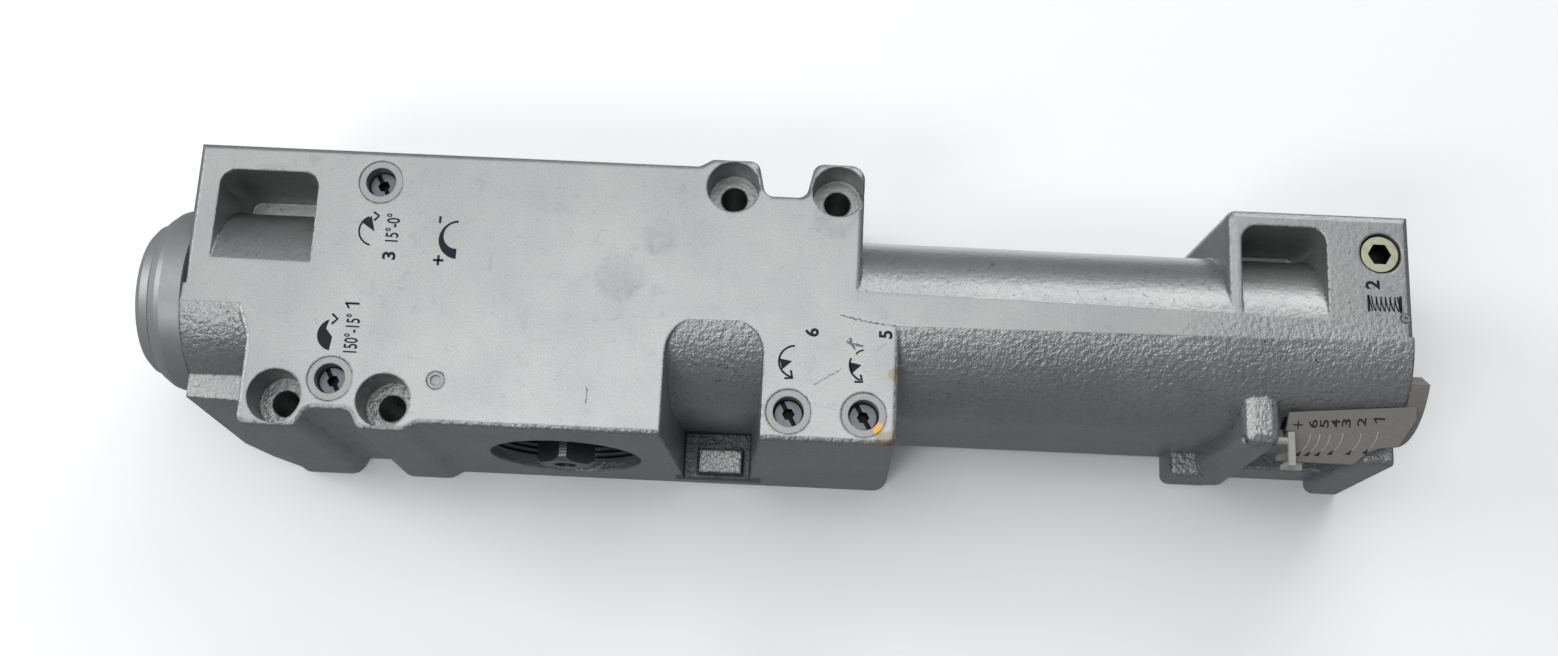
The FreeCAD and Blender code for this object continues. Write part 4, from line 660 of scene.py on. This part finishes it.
# Matt pale board under the door face. It shows from its upper side only, so that the door face can
# be seen from behind, and it casts no shadow there.
def pale_table(half_width=3.0, below_door_face=0.0004):
    material, tree, shader, _ = new_material("pale_table_board", metallic=0.0, roughness=0.9)
    shader.inputs["Base Color"].default_value = colour("#fcfcfc")
    from_behind = add(tree, "NewGeometry", {}, out="Backfacing")
    clear = add(tree, "BsdfTransparent", {})
    shown = add(tree, "MixShader", {0: from_behind, 1: shader.outputs[0], 2: clear})
    tree.links.new(shown, tree.nodes["Material Output"].inputs[0])
    shape = bmesh.new()
    bmesh.ops.create_grid(shape, x_segments=1, y_segments=1, size=half_width,
                          matrix=Matrix.Rotation(math.pi / 2.0, 4, "X"))
    bmesh.ops.translate(shape, vec=(0, below_door_face, 0), verts=shape.verts[:])
    data = bpy.data.meshes.new("table")
    shape.to_mesh(data)
    shape.free()
    data.materials.append(material)
    table = bpy.data.objects.new("table", data)
    table.visible_glossy = False
    table.visible_shadow = False
    bpy.context.scene.collection.objects.link(table)
    return table


pale_table()


def softbox(name, place, target, width, height, power):
    """A soft rectangular light at a place, turned to its target."""
    lamp = bpy.data.lights.new(name, "AREA")
    lamp.shape = "RECTANGLE"
    lamp.size = width
    lamp.size_y = height
    lamp.energy = power
    holder = bpy.data.objects.new(name, lamp)
    holder.location = place
    holder.rotation_mode = "QUATERNION"
    holder.rotation_quaternion = (Vector(target) - Vector(place)).to_track_quat("-Z", "Y")
    bpy.context.scene.collection.objects.link(holder)


# Soft studio light: a key from the upper left, fills from the front, the left and behind, a top
# light along the tube, and a low strip for the bright band under the tube's flat
softbox("key", place=(-0.2, -2.2, 0.75), target=(0.03, 0, 0), width=2.8, height=1.2, power=14.0)
softbox("front", place=(-0.1, -1.3, 0.0), target=(0.03, 0, 0), width=0.7, height=0.5, power=3.2)
softbox("left", place=(-1.3, -0.7, 0.25), target=(-0.08, 0, 0), width=0.5, height=0.7, power=8.0)
softbox("behind", place=(0.1, 1.2, 1.1), target=(0.05, 0, 0), width=1.2, height=1.0, power=5.0)
softbox("top", place=(0.5, -0.9, 1.1), target=(0.08, 0, 0), width=1.2, height=0.5, power=7.0)
softbox("low_strip", place=(-0.5, -1.0, -0.6), target=(-0.05, 0, 0), width=0.6, height=0.25, power=3.0)

# Pale surroundings: dim as a light, brighter where the camera sees them
WORLD_LIGHT = 0.26
WORLD_SEEN_MORE = 0.6
scene = bpy.context.scene
world = bpy.data.worlds.new("studio")
world.use_nodes = True
background = world.node_tree.nodes["Background"]
background.inputs[0].default_value = colour("#dfe3e8")
seen = add(world.node_tree, "LightPath", {}, out="Is Camera Ray")
strength = add(world.node_tree, "Math", {0: seen, 1: WORLD_SEEN_MORE, 2: WORLD_LIGHT},
               operation="MULTIPLY_ADD")
world.node_tree.links.new(strength, background.inputs[1])
scene.world = world
scene.view_settings.view_transform = "Standard"
scene.view_settings.look = "None"

# Camera at the photograph's place. Its lens and its turn come from the four fixing holes and the
# block's edges: it looks into the door and 14 degrees up, rolled by nearly 3 degrees
CAMERA_PLACE = (0.0563, -0.4353, -0.1034)
CAMERA_TURN = (104.471, -2.64, -0.225)
camera_data = bpy.data.cameras.new("camera")
camera_data.lens = 37.05
camera_data.sensor_width = 36.0
camera_data.clip_start = 0.01
camera_data.clip_end = 20.0
camera = bpy.data.objects.new("camera", camera_data)
turn = Euler([math.radians(angle) for angle in CAMERA_TURN], "XYZ")
camera.matrix_world = Matrix.Translation(CAMERA_PLACE) @ turn.to_matrix().to_4x4()
scene.collection.objects.link(camera)
scene.camera = camera
